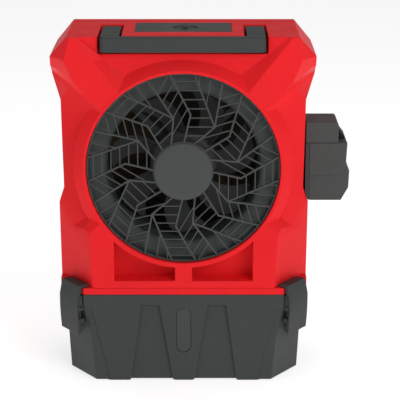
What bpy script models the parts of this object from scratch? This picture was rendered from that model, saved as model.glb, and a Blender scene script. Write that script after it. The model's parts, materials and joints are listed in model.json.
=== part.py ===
"""A cordless evaporative air mover, in metres, standing on Z = 0 with its front facing -Y.

X = 0 is the plane through the fan, and the origin lies under the middle of the tank's base.
"""

import math

import bmesh
import bpy
from mathutils import Matrix, Vector

# Driving dimensions
GAP = 0.0003
WALL = 0.003
FRONT = -0.100
SPLIT = 0.032
SHELL_BACK = 0.078
PAD_BACK = 0.100
HEIGHT = 0.4766
SEAM = 0.124
FLANGE_TOP = 0.133

FAN_Z = 0.2989
FAN_OPENING = 0.130
BEZEL_RIM = 0.134
BEZEL_FOOT = 0.147
BEZEL_PROUD = 0.0005
VALLEY = FRONT + 0.012
INNER_FRONT = VALLEY + WALL
DUCT = 0.1025
MOTOR_FRONT, MOTOR_BACK = -0.0335, 0.012
HUB_FRONT, HUB_BACK = -0.070, -0.036
BLADES = 7
POCKET_ARC = 0.137
POCKET_DEPTH = 0.029
LOUVRE_HALF, LOUVRE_LOW, LOUVRE_HIGH = 0.134, 0.142, 0.438
LOUVRE_FRAME = 0.010

# The grille is a shallow dome: straight ribs rise from the rim to the elbows, and run level to the hub
RIM_FACE = FRONT + 0.0040
DOME_FACE = FRONT - 0.0070
RIB_DEPTH = 0.0060
GRILLE_RIM = 0.1270
HUB_RADIUS = 0.0400
RIB_WIDTH = 0.0024

CHAMFER_SLOPE = 1.4

HANDLE_HALF = 0.109
HANDLE_ARM = 0.025
HANDLE_BAR_DEPTH = 0.0135
HANDLE_BOTTOM = 0.4565
HANDLE_PIVOT_Y = -0.008
HANDLE_RADIUS = 0.010
CHANNEL_BOTTOM = 0.4535
CHANNEL_SIDE = 0.003

PANEL_HALF = 0.0645
PANEL_FRONT, PANEL_BACK = -0.053, 0.020
PANEL_BOTTOM = 0.4733
KNOB = Vector((0.0026, -0.018, HEIGHT))
KNOB_RADIUS = 0.0145
LENS = Vector((0.022, -0.0365, HEIGHT))

BATTERY_FRONT, BATTERY_BACK = -0.050, 0.030
DOCK_WALL, DOCK_BOTTOM, DOCK_TOP, DOCK_BACK = 0.1658, 0.3240, 0.3525, 0.007
PACK_INSIDE = 0.1716

# Each latch lies on a front corner's chamfer. Its points are (distance out from the axis, height).
LATCH_HALF = 0.023
LUG_IN, LUG_OUT = 0.0175, 0.0205
TANK_PIVOT = (0.1719, 0.1060)
LINK_PIVOT = (0.1695, 0.0795)
PIN_RADIUS = 0.0015
PIN_BORE = 0.0018
LEVER = (
    (0.1600, 0.1372),
    (0.1600, 0.1340),
    (0.1706, 0.1340),
    (0.1712, 0.1290),
    (0.1768, 0.1130),
    (0.1768, 0.0950),
    (0.1745, 0.0670),
    (0.1768, 0.0670),
    (0.1782, 0.0830),
    (0.1790, 0.1000),
    (0.1790, 0.1160),
    (0.1752, 0.1330),
    (0.1745, 0.1372),
)
LEVER_LUG = (
    (0.1672, 0.0890),
    (0.1662, 0.0850),
    (0.1659, 0.0795),
    (0.1663, 0.0750),
    (0.1680, 0.0700),
    (0.1755, 0.0690),
    (0.1772, 0.0890),
)
TANK_EAR = (
    (0.1672, 0.1000),
    (0.1748, 0.1000),
    (0.1755, 0.1012),
    (0.1755, 0.1110),
    (0.1720, 0.1215),
    (0.1691, 0.1215),
    (0.1691, 0.1090),
)

# The plan at one height: half-width of the front face, half-width of the sides
TANK_PLAN = ((0.001, 0.1195, 0.158), (0.075, 0.127, 0.1615), (0.109, 0.136, 0.163))
TANK_BACK = 0.076
TANK_TOP = SEAM - GAP
TRAPEZOID = ((0.0128, -0.01), (0.0741, -0.01), (0.058, 0.109), (0.033, 0.109))
WINDOW_HALF, WINDOW_LOW, WINDOW_HIGH = 0.0097, 0.041, 0.104
DRAIN = Vector((-0.110, TANK_BACK, 0.022))

CHAMFER_ANGLE = math.atan(CHAMFER_SLOPE)
LATCH_MIDDLE = Vector(((0.136 + 0.163) / 2, FRONT + (0.163 - 0.136) / 2 * CHAMFER_SLOPE, 0))

PARTS = bpy.data.collections.new("air_mover")
CUTTERS = bpy.data.collections.new("cutters")

FRONT_VIEW = (Vector((1, 0, 0)), Vector((0, 0, 1)), Vector((0, 1, 0)))
PLAN = (Vector((1, 0, 0)), Vector((0, 1, 0)), Vector((0, 0, 1)))
SIDE_VIEW = (Vector((0, 1, 0)), Vector((0, 0, 1)), Vector((1, 0, 0)))
TO_FRONT = Matrix.Rotation(math.pi / 2, 4, "X")


def clear_scene():
    for obj in list(bpy.data.objects):
        bpy.data.objects.remove(obj)
    bpy.context.scene.collection.children.link(PARTS)
    bpy.context.scene.collection.children.link(CUTTERS)


def material(name, colour, roughness, metallic=0.0):
    finish = bpy.data.materials.new(name)
    finish.use_nodes = True
    shader = finish.node_tree.nodes["Principled BSDF"]
    shader.inputs["Base Color"].default_value = (*colour, 1.0)
    shader.inputs["Roughness"].default_value = roughness
    shader.inputs["Metallic"].default_value = metallic
    return finish


RED = material("red_plastic", (0.72, 0.02, 0.03), 0.42)
DARK = material("dark_plastic", (0.055, 0.06, 0.06), 0.5)
BLACK = material("black_plastic", (0.02, 0.02, 0.022), 0.55)
STEEL = material("steel", (0.55, 0.55, 0.56), 0.35, 1.0)
RUBBER = material("rubber", (0.03, 0.03, 0.03), 0.8)
PAD = material("wet_pad", (0.32, 0.23, 0.13), 0.9)
BOARD = material("circuit_board", (0.03, 0.16, 0.07), 0.5)
BRASS = material("brass", (0.72, 0.5, 0.2), 0.3, 1.0)
WINDOW = material("smoked_window", (0.10, 0.11, 0.11), 0.15)
GLOW = material("lens", (0.6, 0.05, 0.04), 0.2)


def object_of(name, mesh_build):
    bmesh.ops.recalc_face_normals(mesh_build, faces=mesh_build.faces)
    mesh = bpy.data.meshes.new(name)
    mesh_build.to_mesh(mesh)
    mesh_build.free()
    obj = bpy.data.objects.new(name, mesh)
    CUTTERS.objects.link(obj)
    obj.hide_render = True
    obj.display_type = "WIRE"
    return obj


def keep(obj, finish, smooth=30):
    """Makes a shape a part of the object: until then every shape is a cutter."""
    CUTTERS.objects.unlink(obj)
    PARTS.objects.link(obj)
    obj.hide_render = False
    obj.display_type = "TEXTURED"
    obj.data.materials.clear()
    obj.data.materials.append(finish)
    obj.data.shade_smooth()
    obj.data.set_sharp_from_angle(angle=math.radians(smooth))
    return obj


def block(name, low, high):
    low, high = Vector(low), Vector(high)
    build = bmesh.new()
    bmesh.ops.create_cube(build, size=1.0)
    bmesh.ops.scale(build, vec=high - low, verts=build.verts)
    bmesh.ops.translate(build, vec=(low + high) / 2, verts=build.verts)
    return object_of(name, build)


def rod(name, start, end, radius, segments=24):
    start, end = Vector(start), Vector(end)
    along = end - start
    turn = along.to_track_quat("Z", "Y").to_matrix().to_4x4()
    build = bmesh.new()
    bmesh.ops.create_cone(
        build,
        cap_ends=True,
        segments=segments,
        radius1=radius,
        radius2=radius,
        depth=along.length,
        matrix=Matrix.Translation((start + end) / 2) @ turn,
    )
    return object_of(name, build)


def plate(name, outline, axes, start, end):
    """A flat outline in the first two axes, as thick as from start to end along the third."""
    curve = bpy.data.curves.new(name, "CURVE")
    curve.dimensions = "2D"
    curve.fill_mode = "BOTH"
    curve.extrude = abs(end - start) / 2
    spline = curve.splines.new("POLY")
    spline.points.add(len(outline) - 1)
    for point, (across, up) in zip(spline.points, outline):
        point.co = (across, up, 0, 1)
    spline.use_cyclic_u = True
    holder = bpy.data.objects.new(name + "_outline", curve)
    bpy.context.scene.collection.objects.link(holder)
    graph = bpy.context.evaluated_depsgraph_get()
    mesh = bpy.data.meshes.new_from_object(holder.evaluated_get(graph))
    bpy.data.objects.remove(holder)
    build = bmesh.new()
    build.from_mesh(mesh)
    bpy.data.meshes.remove(mesh)
    bmesh.ops.remove_doubles(build, verts=build.verts, dist=1e-5)
    place = Matrix.Translation(axes[2] * (start + end) / 2) @ Matrix(axes).transposed().to_4x4()
    bmesh.ops.transform(build, matrix=place, verts=build.verts)
    return object_of(name, build)


def turned(name, profile, centre, turn=Matrix.Identity(4), steps=48):
    """A profile of (radius, height) turned about its own Z, which turn then points elsewhere."""
    build = bmesh.new()
    corners = [build.verts.new((radius, 0, height)) for radius, height in profile]
    closed = min(radius for radius, _ in profile) > 0
    for first, second in zip(corners, corners[1:] + corners[:1] * closed):
        build.edges.new((first, second))
    mesh = bpy.data.meshes.new(name)
    build.to_mesh(mesh)
    build.free()
    obj = bpy.data.objects.new(name, mesh)
    CUTTERS.objects.link(obj)
    obj.hide_render = True
    obj.display_type = "WIRE"
    obj.matrix_world = Matrix.Translation(centre) @ turn
    screw = obj.modifiers.new("Turn", "SCREW")
    screw.steps = steps
    screw.render_steps = steps
    screw.use_merge_vertices = True
    screw.merge_threshold = 0.00001
    return obj


def loft(name, rings):
    """A closed skin through rings of the same number of points, capped at both ends."""
    build = bmesh.new()
    rows = [[build.verts.new(point) for point in ring] for ring in rings]
    for lower, upper in zip(rows, rows[1:]):
        for i in range(len(lower)):
            j = (i + 1) % len(lower)
            build.faces.new((lower[i], lower[j], upper[j], upper[i]))
    build.faces.new(rows[0][::-1])
    build.faces.new(rows[-1])
    return object_of(name, build)


def boolean(obj, other, operation):
    step = obj.modifiers.new(other.name, "BOOLEAN")
    step.operation = operation
    step.object = other


def cut(obj, *cutters):
    for cutter in cutters:
        boolean(obj, cutter, "DIFFERENCE")


def join(obj, *others):
    for other in others:
        boolean(obj, other, "UNION")


def bevel(obj, width, segments=1, angle=35):
    edge = obj.modifiers.new("Bevel", "BEVEL")
    edge.width = width
    edge.segments = segments
    edge.limit_method = "ANGLE"
    edge.angle_limit = math.radians(angle)
    return obj


def axis_empty(name, place, children):
    """An empty on a joint's axis, with the pieces that move about it as its children."""
    empty = bpy.data.objects.new(name, None)
    empty.location = place
    PARTS.objects.link(empty)
    bpy.context.view_layer.update()
    for child in children:
        child.parent = empty
        child.matrix_parent_inverse = empty.matrix_world.inverted()
    return empty


def mirrored(half):
    """A closed outline from its right half, listed from bottom to top."""
    return list(half) + [(-across, up) for across, up in reversed(half)]


def plan_ring(height, face, side, front, back, back_chamfer):
    """The plan at one height, with a chamfer from the front face to each side."""
    depth = (side - face) * CHAMFER_SLOPE
    half = (
        (face, front),
        (side, front + depth),
        (side, back - back_chamfer),
        (side - back_chamfer, back),
    )
    return [(x, y, height) for x, y in half] + [(-x, y, height) for x, y in reversed(half)]


def both_sides(make):
    """The same shape on the right (1) and on the left (-1)."""
    return [make(side) for side in (1, -1)]


def span(side, near, far):
    """Low and high X of something from near to far on one side."""
    return min(side * near, side * far), max(side * near, side * far)


def silhouette(inset, floor=SEAM):
    """The housing's outline from the front, drawn in by an inset."""
    half = (
        (0.170, SEAM),
        (0.1705, 0.240),
        (0.163, 0.262),
        (0.165, 0.385),
        (0.177, 0.420),
        (0.177, 0.447),
        (0.1527, HEIGHT),
    )
    drawn = [(x - inset, z - inset * max(0.0, (z - 0.38) / (HEIGHT - 0.38))) for x, z in half]
    drawn[0] = (drawn[0][0], floor)
    return mirrored(drawn)


# Front housing

def housing_blank():
    rows = (
        (FLANGE_TOP + GAP, 0.123, 0.170),
        (0.200, 0.127, 0.1705),
        (0.240, 0.131, 0.1705),
        (0.262, 0.131, 0.163),
        (0.385, 0.133, 0.165),
        (0.420, 0.145, 0.177),
        (0.447, 0.157, 0.177),
        (HEIGHT, 0.1522, 0.1527),
    )
    return loft(
        "front_housing",
        [plan_ring(z, face, side, FRONT, SPLIT - GAP, 0.0005) for z, face, side in rows],
    )


def upper_valley():
    """The facet between the two upper arms of the front, sunk behind the handle bar."""
    def ring(low, high, y):
        half = (low, high, (high[0], HEIGHT + 0.04))
        return [(x, y, z) for x, z in half] + [(-x, y, z) for x, z in reversed(half)]

    return loft(
        "upper_valley",
        [
            ring((0.0855, 0.401), (0.1535, 0.4770), FRONT - 0.001),
            ring((0.076, 0.425), (0.103, 0.445), VALLEY),
        ],
    )


def side_valley(side):
    """The facets between an upper and a lower arm, falling back to the side."""
    front = ((0.108, 0.378), (0.157, 0.433), (0.190, 0.452), (0.190, 0.160), (0.149, 0.189), (0.110, 0.224))
    floor = (
        (0.118, 0.366, VALLEY),
        (0.150, 0.408, VALLEY + 0.016),
        (0.190, 0.428, -0.026),
        (0.190, 0.190, -0.026),
        (0.150, 0.212, VALLEY + 0.016),
        (0.120, 0.238, VALLEY),
    )
    rings = [[(side * x, FRONT - 0.001, z) for x, z in front], [(side * x, y, z) for x, z, y in floor]]
    return loft("side_valley", rings)


def housing_cavity():
    rows = (
        (SEAM - 0.005, 0.104, 0.1665),
        (0.240, 0.104, 0.1665),
        (0.262, 0.104, 0.159),
        (0.385, 0.104, 0.161),
        (0.420, 0.108, 0.172),
        (0.444, 0.112, 0.172),
        (HEIGHT - WALL, 0.118, 0.150),
    )
    return loft(
        "housing_cavity",
        [plan_ring(z, face, side, INNER_FRONT, SPLIT + 0.004, 0.0005) for z, face, side in rows],
    )


def pocket_outline(grow):
    """One pocket beside the middle rib, its top following the fan."""
    inner, outer, bottom = 0.0115 - grow, 0.0938 + grow, 0.1435 - grow
    radius = POCKET_ARC - grow
    steps = 8
    start = math.asin(outer / radius)
    end = math.asin(inner / radius)
    angles = [start + (end - start) * i / steps for i in range(steps + 1)]
    arc = [(radius * math.sin(a), FAN_Z - radius * math.cos(a)) for a in angles]
    return [(inner, bottom), (outer, bottom)] + arc


def pocket(side, grow):
    outline = [(side * x, z) for x, z in pocket_outline(grow)]
    start = FRONT + 0.004 if grow else FRONT - 0.01
    return plate("pocket", outline, FRONT_VIEW, start, FRONT + POCKET_DEPTH + grow)


def handle_channel(side):
    low, high = span(side, HANDLE_HALF - HANDLE_ARM - CHANNEL_SIDE, HANDLE_HALF + CHANNEL_SIDE)
    back = HANDLE_PIVOT_Y + 0.013
    return block("handle_channel", (low, -0.0845, CHANNEL_BOTTOM), (high, back, HEIGHT + 0.01))


def channel_walls(side):
    low, high = span(
        side, HANDLE_HALF - HANDLE_ARM - CHANNEL_SIDE - WALL, HANDLE_HALF + CHANNEL_SIDE + WALL
    )
    return block(
        "channel_walls",
        (low, VALLEY + 0.0005, CHANNEL_BOTTOM - WALL),
        (high, HANDLE_PIVOT_Y + 0.016, HEIGHT - 0.002),
    )


def build_base_rim():
    """The flange that the front housing stands on, with a ledge that the latches hook over."""
    rings = [plan_ring(z, 0.136, 0.170, FRONT, SPLIT - GAP, 0.0005) for z in (SEAM, FLANGE_TOP)]
    rim = loft("base_rim", rings)
    cut(rim, housing_cavity())
    return keep(rim, RED)


def build_front_housing():
    housing = housing_blank()
    bar_end = HANDLE_HALF + CHANNEL_SIDE
    bar_back = FRONT + HANDLE_BAR_DEPTH + CHANNEL_SIDE
    cut(housing, upper_valley(), *both_sides(side_valley), housing_cavity())
    middle = (BEZEL_RIM + BEZEL_FOOT) / 2
    cut(housing, rod("opening", (0, FRONT - 0.01, FAN_Z), (0, INNER_FRONT + 0.02, FAN_Z), middle, 40))
    bezel_back = FRONT - INNER_FRONT - 0.001
    profile = [
        (FAN_OPENING, BEZEL_PROUD),
        (BEZEL_RIM, BEZEL_PROUD),
        (BEZEL_FOOT, FRONT - VALLEY - 0.0003),
        (BEZEL_FOOT, bezel_back),
        (FAN_OPENING, bezel_back),
    ]
    join(housing, turned("bezel", profile, (0, FRONT, FAN_Z), TO_FRONT, 72))
    join(housing, *both_sides(lambda side: pocket(side, WALL)))
    cut(housing, *both_sides(lambda side: pocket(side, 0)))
    join(housing, *both_sides(channel_walls))
    bar_wall = block(
        "bar_wall",
        (-bar_end - WALL, VALLEY + 0.0005, CHANNEL_BOTTOM - WALL),
        (bar_end + WALL, bar_back + WALL, HEIGHT - 0.002),
    )
    panel_rim = block(
        "panel_rim",
        (-PANEL_HALF - 0.004, PANEL_FRONT - 0.004, PANEL_BOTTOM - 0.005),
        (PANEL_HALF + 0.004, PANEL_BACK + 0.004, HEIGHT - 0.0025),
    )
    join(housing, bar_wall, panel_rim)
    bar_channel = block(
        "bar_channel", (-bar_end, FRONT - 0.01, CHANNEL_BOTTOM), (bar_end, bar_back, HEIGHT + 0.01)
    )
    panel_seat = block(
        "panel_seat",
        (-PANEL_HALF - GAP, PANEL_FRONT - GAP, PANEL_BOTTOM - GAP),
        (PANEL_HALF + GAP, PANEL_BACK + GAP, HEIGHT + 0.01),
    )
    panel_hole = block(
        "panel_hole",
        (-PANEL_HALF + 0.004, PANEL_FRONT + 0.004, PANEL_BOTTOM - 0.02),
        (PANEL_HALF - 0.004, PANEL_BACK - 0.004, HEIGHT + 0.01),
    )
    cut(housing, bar_channel, *both_sides(handle_channel), panel_seat, panel_hole)
    for side in (1, -1):
        centre = side * (HANDLE_HALF - HANDLE_ARM / 2)
        half = HANDLE_ARM / 2 + CHANNEL_SIDE + WALL + 0.001
        bore = rod(
            "handle_bore",
            (centre - half, HANDLE_PIVOT_Y, HANDLE_BOTTOM + HANDLE_RADIUS),
            (centre + half, HANDLE_PIVOT_Y, HANDLE_BOTTOM + HANDLE_RADIUS),
            0.0033,
            16,
        )
        cut(housing, bore)
    wire_hole = rod("wire_hole", (0.15, -0.01, 0.340), (0.18, -0.01, 0.340), 0.004, 12)
    cut(housing, wire_hole)
    return keep(housing, RED)


# Rear housing, pad and louvre

def build_rear_housing():
    def ring(y, inset, lowered, floor=SEAM):
        """The outline at one depth, with its top lowered."""
        outline = silhouette(inset, floor)
        return [(x, y, z - lowered * max(0.0, (z - 0.38) / (HEIGHT - 0.38))) for x, z in outline]

    housing = loft("rear_housing", [ring(SPLIT, 0, 0), ring(0.053, 0, 0), ring(SHELL_BACK, 0.018, 0.006)])
    cavity = loft(
        "rear_cavity",
        [
            ring(SPLIT - 0.002, 0.0035, 0, SEAM - 0.001),
            ring(0.052, 0.0035, 0, SEAM - 0.001),
            ring(SHELL_BACK - 0.004, 0.021, 0.006, SEAM - 0.001),
        ],
    )
    cavity_floor = block(
        "cavity_floor",
        (-0.145, SPLIT - 0.004, SEAM - 0.01),
        (0.145, SHELL_BACK - 0.004, SEAM + 0.02),
    )
    opening = block(
        "rear_opening",
        (-LOUVRE_HALF + 0.008, 0.05, LOUVRE_LOW + 0.008),
        (LOUVRE_HALF - 0.008, SHELL_BACK + 0.01, LOUVRE_HIGH - 0.008),
    )
    cut(housing, cavity, cavity_floor, opening)
    for place in screw_places():
        hole = rod("screw_hole", place + Vector((0, -0.025, 0)), place + Vector((0, 0.01, 0)), 0.0023, 16)
        cut(housing, hole)
    return keep(housing, RED)


def screw_places():
    """Where the four louvre screws enter the back face of the rear housing."""
    low, high = LOUVRE_LOW + 0.012, LOUVRE_HIGH - 0.012
    across = LOUVRE_HALF - 0.004
    return [Vector((x, SHELL_BACK, z)) for x in (-across, across) for z in (low, high)]


def build_rear_louvre():
    half, low, high = LOUVRE_HALF, LOUVRE_LOW, LOUVRE_HIGH
    start = SHELL_BACK + GAP
    frame = block("rear_louvre", (-half, start, low), (half, PAD_BACK, high))
    inner = half - LOUVRE_FRAME
    inside = block(
        "louvre_inside",
        (-inner, start - 0.01, low + LOUVRE_FRAME),
        (inner, PAD_BACK + 0.01, high - LOUVRE_FRAME),
    )
    cut(frame, inside)
    for place in screw_places():
        cut(frame, rod("screw_hole", place, place + Vector((0, 0.04, 0)), 0.0023, 16))
        seat = place + Vector((0, 0.018, 0))
        cut(frame, rod("screw_seat", seat, place + Vector((0, 0.04, 0)), 0.0045, 16))
    return keep(frame, DARK)


def build_louvre_slats():
    """An insert of slanted slats on two mullions, inside the louvre's frame."""
    half = LOUVRE_HALF - LOUVRE_FRAME - GAP
    low, high = LOUVRE_LOW + LOUVRE_FRAME + GAP, LOUVRE_HIGH - LOUVRE_FRAME - GAP
    start = SHELL_BACK + GAP
    insert = block("louvre_slats", (-0.045, start, low), (-0.039, start + 0.004, high))
    join(insert, block("mullion", (0.039, start, low), (0.045, start + 0.004, high)))
    slats = 13
    pitch = (high - low) / slats
    for i in range(slats):
        middle = low + pitch * (i + 0.5)
        outline = [
            (start + 0.001, middle + 0.006),
            (start + 0.001, middle + 0.0038),
            (PAD_BACK - 0.002, middle - 0.006),
            (PAD_BACK - 0.002, middle - 0.0038),
        ]
        join(insert, plate("slat", outline, SIDE_VIEW, -half, half))
    return keep(insert, DARK)


def build_louvre_screws():
    for i, place in enumerate(screw_places(), 1):
        tip, seat, end = (place + Vector((0, y, 0)) for y in (-0.008, 0.0183, 0.0208))
        shank = rod(f"louvre_screw_{i}", tip, seat + Vector((0, 0.0012, 0)), 0.002, 12)
        head = rod("screw_head", seat, end, 0.0038, 16)
        join(shank, head)
        keep(shank, STEEL)


def build_cooling_pad():
    pad = block("cooling_pad", (-0.121, 0.0405, 0.148), (0.121, SHELL_BACK - 0.0045, 0.424))
    return keep(pad, PAD)


def build_distributor():
    low, high = (-0.121, 0.0405, 0.4250), (0.121, 0.0650, 0.4430)
    trough = block("water_distributor", low, high)
    wall = 0.002
    hollow = block(
        "trough", (low[0] + wall, low[1] + wall, low[2] + wall), (high[0] - wall, high[1] - wall, 0.46)
    )
    cut(trough, hollow)
    for i in range(6):
        x = -0.100 + 0.040 * i
        cut(trough, rod("drip_hole", (x, 0.053, 0.41), (x, 0.053, 0.46), 0.002, 10))
    return keep(trough, BLACK)


# Fan

def build_shroud():
    """The bell mouth plate behind the grille and the duct round the blades."""
    face = FRONT + 0.0155
    profile = [
        (DUCT, -0.0005),
        (0.1295, -0.0005),
        (0.1295, -0.0030),
        (DUCT + 0.0030, -0.0030),
        (DUCT + 0.0025, -0.0560),
        (DUCT, -0.0560),
    ]
    return keep(turned("fan_shroud", profile, (0, face, FAN_Z), TO_FRONT, 60), BLACK)


def build_motor_bracket():
    low, high = -0.0280, -0.0225
    ring = turned(
        "motor_bracket",
        [(0.0368, 0.0), (0.0420, 0.0), (0.0420, low - high), (0.0368, low - high)],
        (0, low, FAN_Z),
        TO_FRONT,
        32,
    )
    rim = turned(
        "bracket_rim",
        [(DUCT - 0.001, 0.0), (DUCT + 0.004, 0.0), (DUCT + 0.004, low - high), (DUCT - 0.001, low - high)],
        (0, low, FAN_Z),
        TO_FRONT,
        60,
    )
    join(ring, rim)
    for i in range(4):
        turn = math.radians(45 + 90 * i)
        across = Vector((math.cos(turn), 0, math.sin(turn)))
        beside = Vector((-math.sin(turn), 0, math.cos(turn)))
        outline = [(0.0395, -0.005), (DUCT + 0.001, -0.004), (DUCT + 0.001, 0.004), (0.0395, 0.005)]
        axes = (across, beside, Vector((0, 1, 0)))
        centre = Vector((0, 0, FAN_Z))
        arm = plate("bracket_arm", outline, axes, low + 0.0005, high - 0.0005)
        arm.location = centre
        join(ring, arm)
    return keep(ring, BLACK)


def build_motor():
    body = turned(
        "motor_body",
        [
            (0, 0.0),
            (0.012, 0.0),
            (0.012, -0.003),
            (0.033, -0.003),
            (0.0365, -0.0065),
            (0.0365, MOTOR_FRONT - MOTOR_BACK + 0.003),
            (0.0335, MOTOR_FRONT - MOTOR_BACK),
            (0, MOTOR_FRONT - MOTOR_BACK),
        ],
        (0, MOTOR_FRONT, FAN_Z),
        TO_FRONT,
        40,
    )
    cut(body, rod("shaft_bore", (0, MOTOR_FRONT - 0.01, FAN_Z), (0, -0.012, FAN_Z), 0.00405, 24))
    return keep(body, STEEL)


def build_shaft():
    shaft = rod("motor_shaft", (0, -0.0785, FAN_Z), (0, -0.0125, FAN_Z), 0.0040, 24)
    return keep(shaft, STEEL)


def build_fan_nut():
    nut = rod("fan_nut", (0, -0.0765, FAN_Z), (0, HUB_FRONT - GAP, FAN_Z), 0.0075, 6)
    cut(nut, rod("nut_bore", (0, -0.09, FAN_Z), (0, -0.06, FAN_Z), 0.0043, 24))
    return keep(nut, STEEL)


def blade_section(radius, turn):
    """Four corners of a blade's section on a cylinder of this radius, pitched to push air forward."""
    t = (radius - 0.040) / 0.058
    pitch = math.radians(52 - 22 * t)
    chord = 0.034 + 0.022 * t
    sweep = turn + 0.35 * t * t
    thick = 0.0022
    corners = []
    for along, off in ((-0.5, -0.5), (0.5, -0.5), (0.5, 0.5), (-0.5, 0.5)):
        tangent = along * chord * math.cos(pitch) - off * thick * math.sin(pitch)
        axial = along * chord * math.sin(pitch) + off * thick * math.cos(pitch)
        angle = sweep + tangent / radius
        corners.append((radius * math.cos(angle), -0.054 + axial, FAN_Z + radius * math.sin(angle)))
    return corners


def build_impeller():
    hub = turned(
        "fan_impeller",
        [
            (0.0, 0.0),
            (0.040, 0.0),
            (0.045, -0.005),
            (0.045, HUB_FRONT - HUB_BACK),
            (0.042, HUB_FRONT - HUB_BACK),
            (0.042, -0.007),
            (0.010, -0.005),
            (0.009, HUB_FRONT - HUB_BACK + 0.003),
            (0.0, HUB_FRONT - HUB_BACK + 0.003),
        ],
        (0, HUB_FRONT, FAN_Z),
        TO_FRONT,
        42,
    )
    for i in range(BLADES):
        turn = 2 * math.pi * i / BLADES
        rings = [blade_section(r, turn) for r in (0.0435, 0.060, 0.080, 0.0975)]
        join(hub, loft("blade", rings))
    cut(hub, rod("hub_bore", (0, HUB_FRONT - 0.01, FAN_Z), (0, HUB_BACK + 0.01, FAN_Z), 0.0043, 24))
    return keep(hub, BLACK)


# Front grille

def grille_point(radius, degrees):
    """A point on the ribs' front edges: level inside the elbows, falling to the rim outside them."""
    angle = math.radians(degrees)
    fall = max(0.0, (radius - 0.0750) / (GRILLE_RIM - 0.0750))
    y = DOME_FACE + (RIM_FACE - DOME_FACE) * min(1.0, fall)
    return Vector((radius * math.cos(angle), y, FAN_Z + radius * math.sin(angle)))


def rib(start, end, width=RIB_WIDTH):
    """A straight rib of the grille between two points of its front edge."""
    along = (end - start).normalized()
    beside = Vector((-along.z, 0, along.x)).normalized() * width / 2
    deep = Vector((0, RIB_DEPTH, 0))
    rings = [
        (place - beside, place + beside, place + beside + deep, place - beside + deep)
        for place in (start - along * width / 3, end + along * width / 3)
    ]
    return loft("rib", rings)


def build_grille():
    profile = [
        (GRILLE_RIM, -0.0003),
        (FAN_OPENING - GAP, -0.0003),
        (FAN_OPENING - GAP, -0.0090),
        (GRILLE_RIM, -0.0090),
    ]
    ring = turned("front_grille", profile, (0, RIM_FACE, FAN_Z), TO_FRONT, 60)
    hub_face, hub_back = DOME_FACE + 0.0003, DOME_FACE + RIB_DEPTH
    join(ring, rod("grille_hub", (0, hub_face, FAN_Z), (0, hub_back, FAN_Z), HUB_RADIUS, 40))
    for sector in range(8):
        turn = 45 * sector
        first = grille_point(0.0727, 10 + turn)
        second = grille_point(0.0772, -7.5 + turn)
        join(
            ring,
            rib(first, grille_point(0.1268, 38 + turn)),
            rib(first, grille_point(0.1268, 21 + turn)),
            rib(grille_point(0.0385, 23 + turn), first),
            rib(second, grille_point(0.1268, 7.5 + turn)),
            rib(grille_point(0.0385, -1 + turn), second),
        )
    return keep(ring, DARK)


def build_hub_cap():
    profile = [(0, 0.0), (0.036, 0.0), (0.0385, -0.0008), (0.0385, -0.0028), (0, -0.0028)]
    return keep(turned("grille_hub_cap", profile, (0, DOME_FACE - 0.0030, FAN_Z), TO_FRONT, 48), DARK)


# Handle

def handle_arm(side):
    """One arm, round about its pivot at the back."""
    steps = 10
    radius = HANDLE_RADIUS - 0.0002
    middle = HANDLE_BOTTOM + HANDLE_RADIUS
    turns = [math.pi * (i / steps - 0.5) for i in range(steps + 1)]
    outline = [(HANDLE_PIVOT_Y + radius * math.cos(a), middle + radius * math.sin(a)) for a in turns]
    start = FRONT + HANDLE_BAR_DEPTH - 0.003
    outline += [(start, middle + radius), (start, middle - radius)]
    low, high = span(side, HANDLE_HALF - HANDLE_ARM, HANDLE_HALF - 0.0002)
    return plate("handle_arm", outline, SIDE_VIEW, low, high)


def build_handle():
    pivot = Vector((0, HANDLE_PIVOT_Y, HANDLE_BOTTOM + HANDLE_RADIUS))
    outline = mirrored(
        (
            (HANDLE_HALF - 0.006, FRONT),
            (HANDLE_HALF, FRONT + 0.006),
            (HANDLE_HALF, FRONT + HANDLE_BAR_DEPTH),
        )
    )
    handle = plate("handle", outline, PLAN, HANDLE_BOTTOM, HANDLE_BOTTOM + 2 * HANDLE_RADIUS)
    join(handle, *both_sides(handle_arm))
    for side in (1, -1):
        low, high = span(side, HANDLE_HALF - HANDLE_ARM, HANDLE_HALF)
        beside = Vector((0.01, 0, 0))
        start, end = Vector((low, pivot.y, pivot.z)), Vector((high, pivot.y, pivot.z))
        cut(handle, rod("arm_bore", start - beside, end + beside, 0.0033, 16))
        pin_name = "handle_pin_right" if side > 0 else "handle_pin_left"
        reach = CHANNEL_SIDE + WALL
        pin = rod(pin_name, (low - reach, pivot.y, pivot.z), (high + reach, pivot.y, pivot.z), 0.0030, 16)
        keep(pin, STEEL)
    keep(handle, DARK)
    axis_empty("handle_axis", pivot, [handle])


# Control panel

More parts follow.
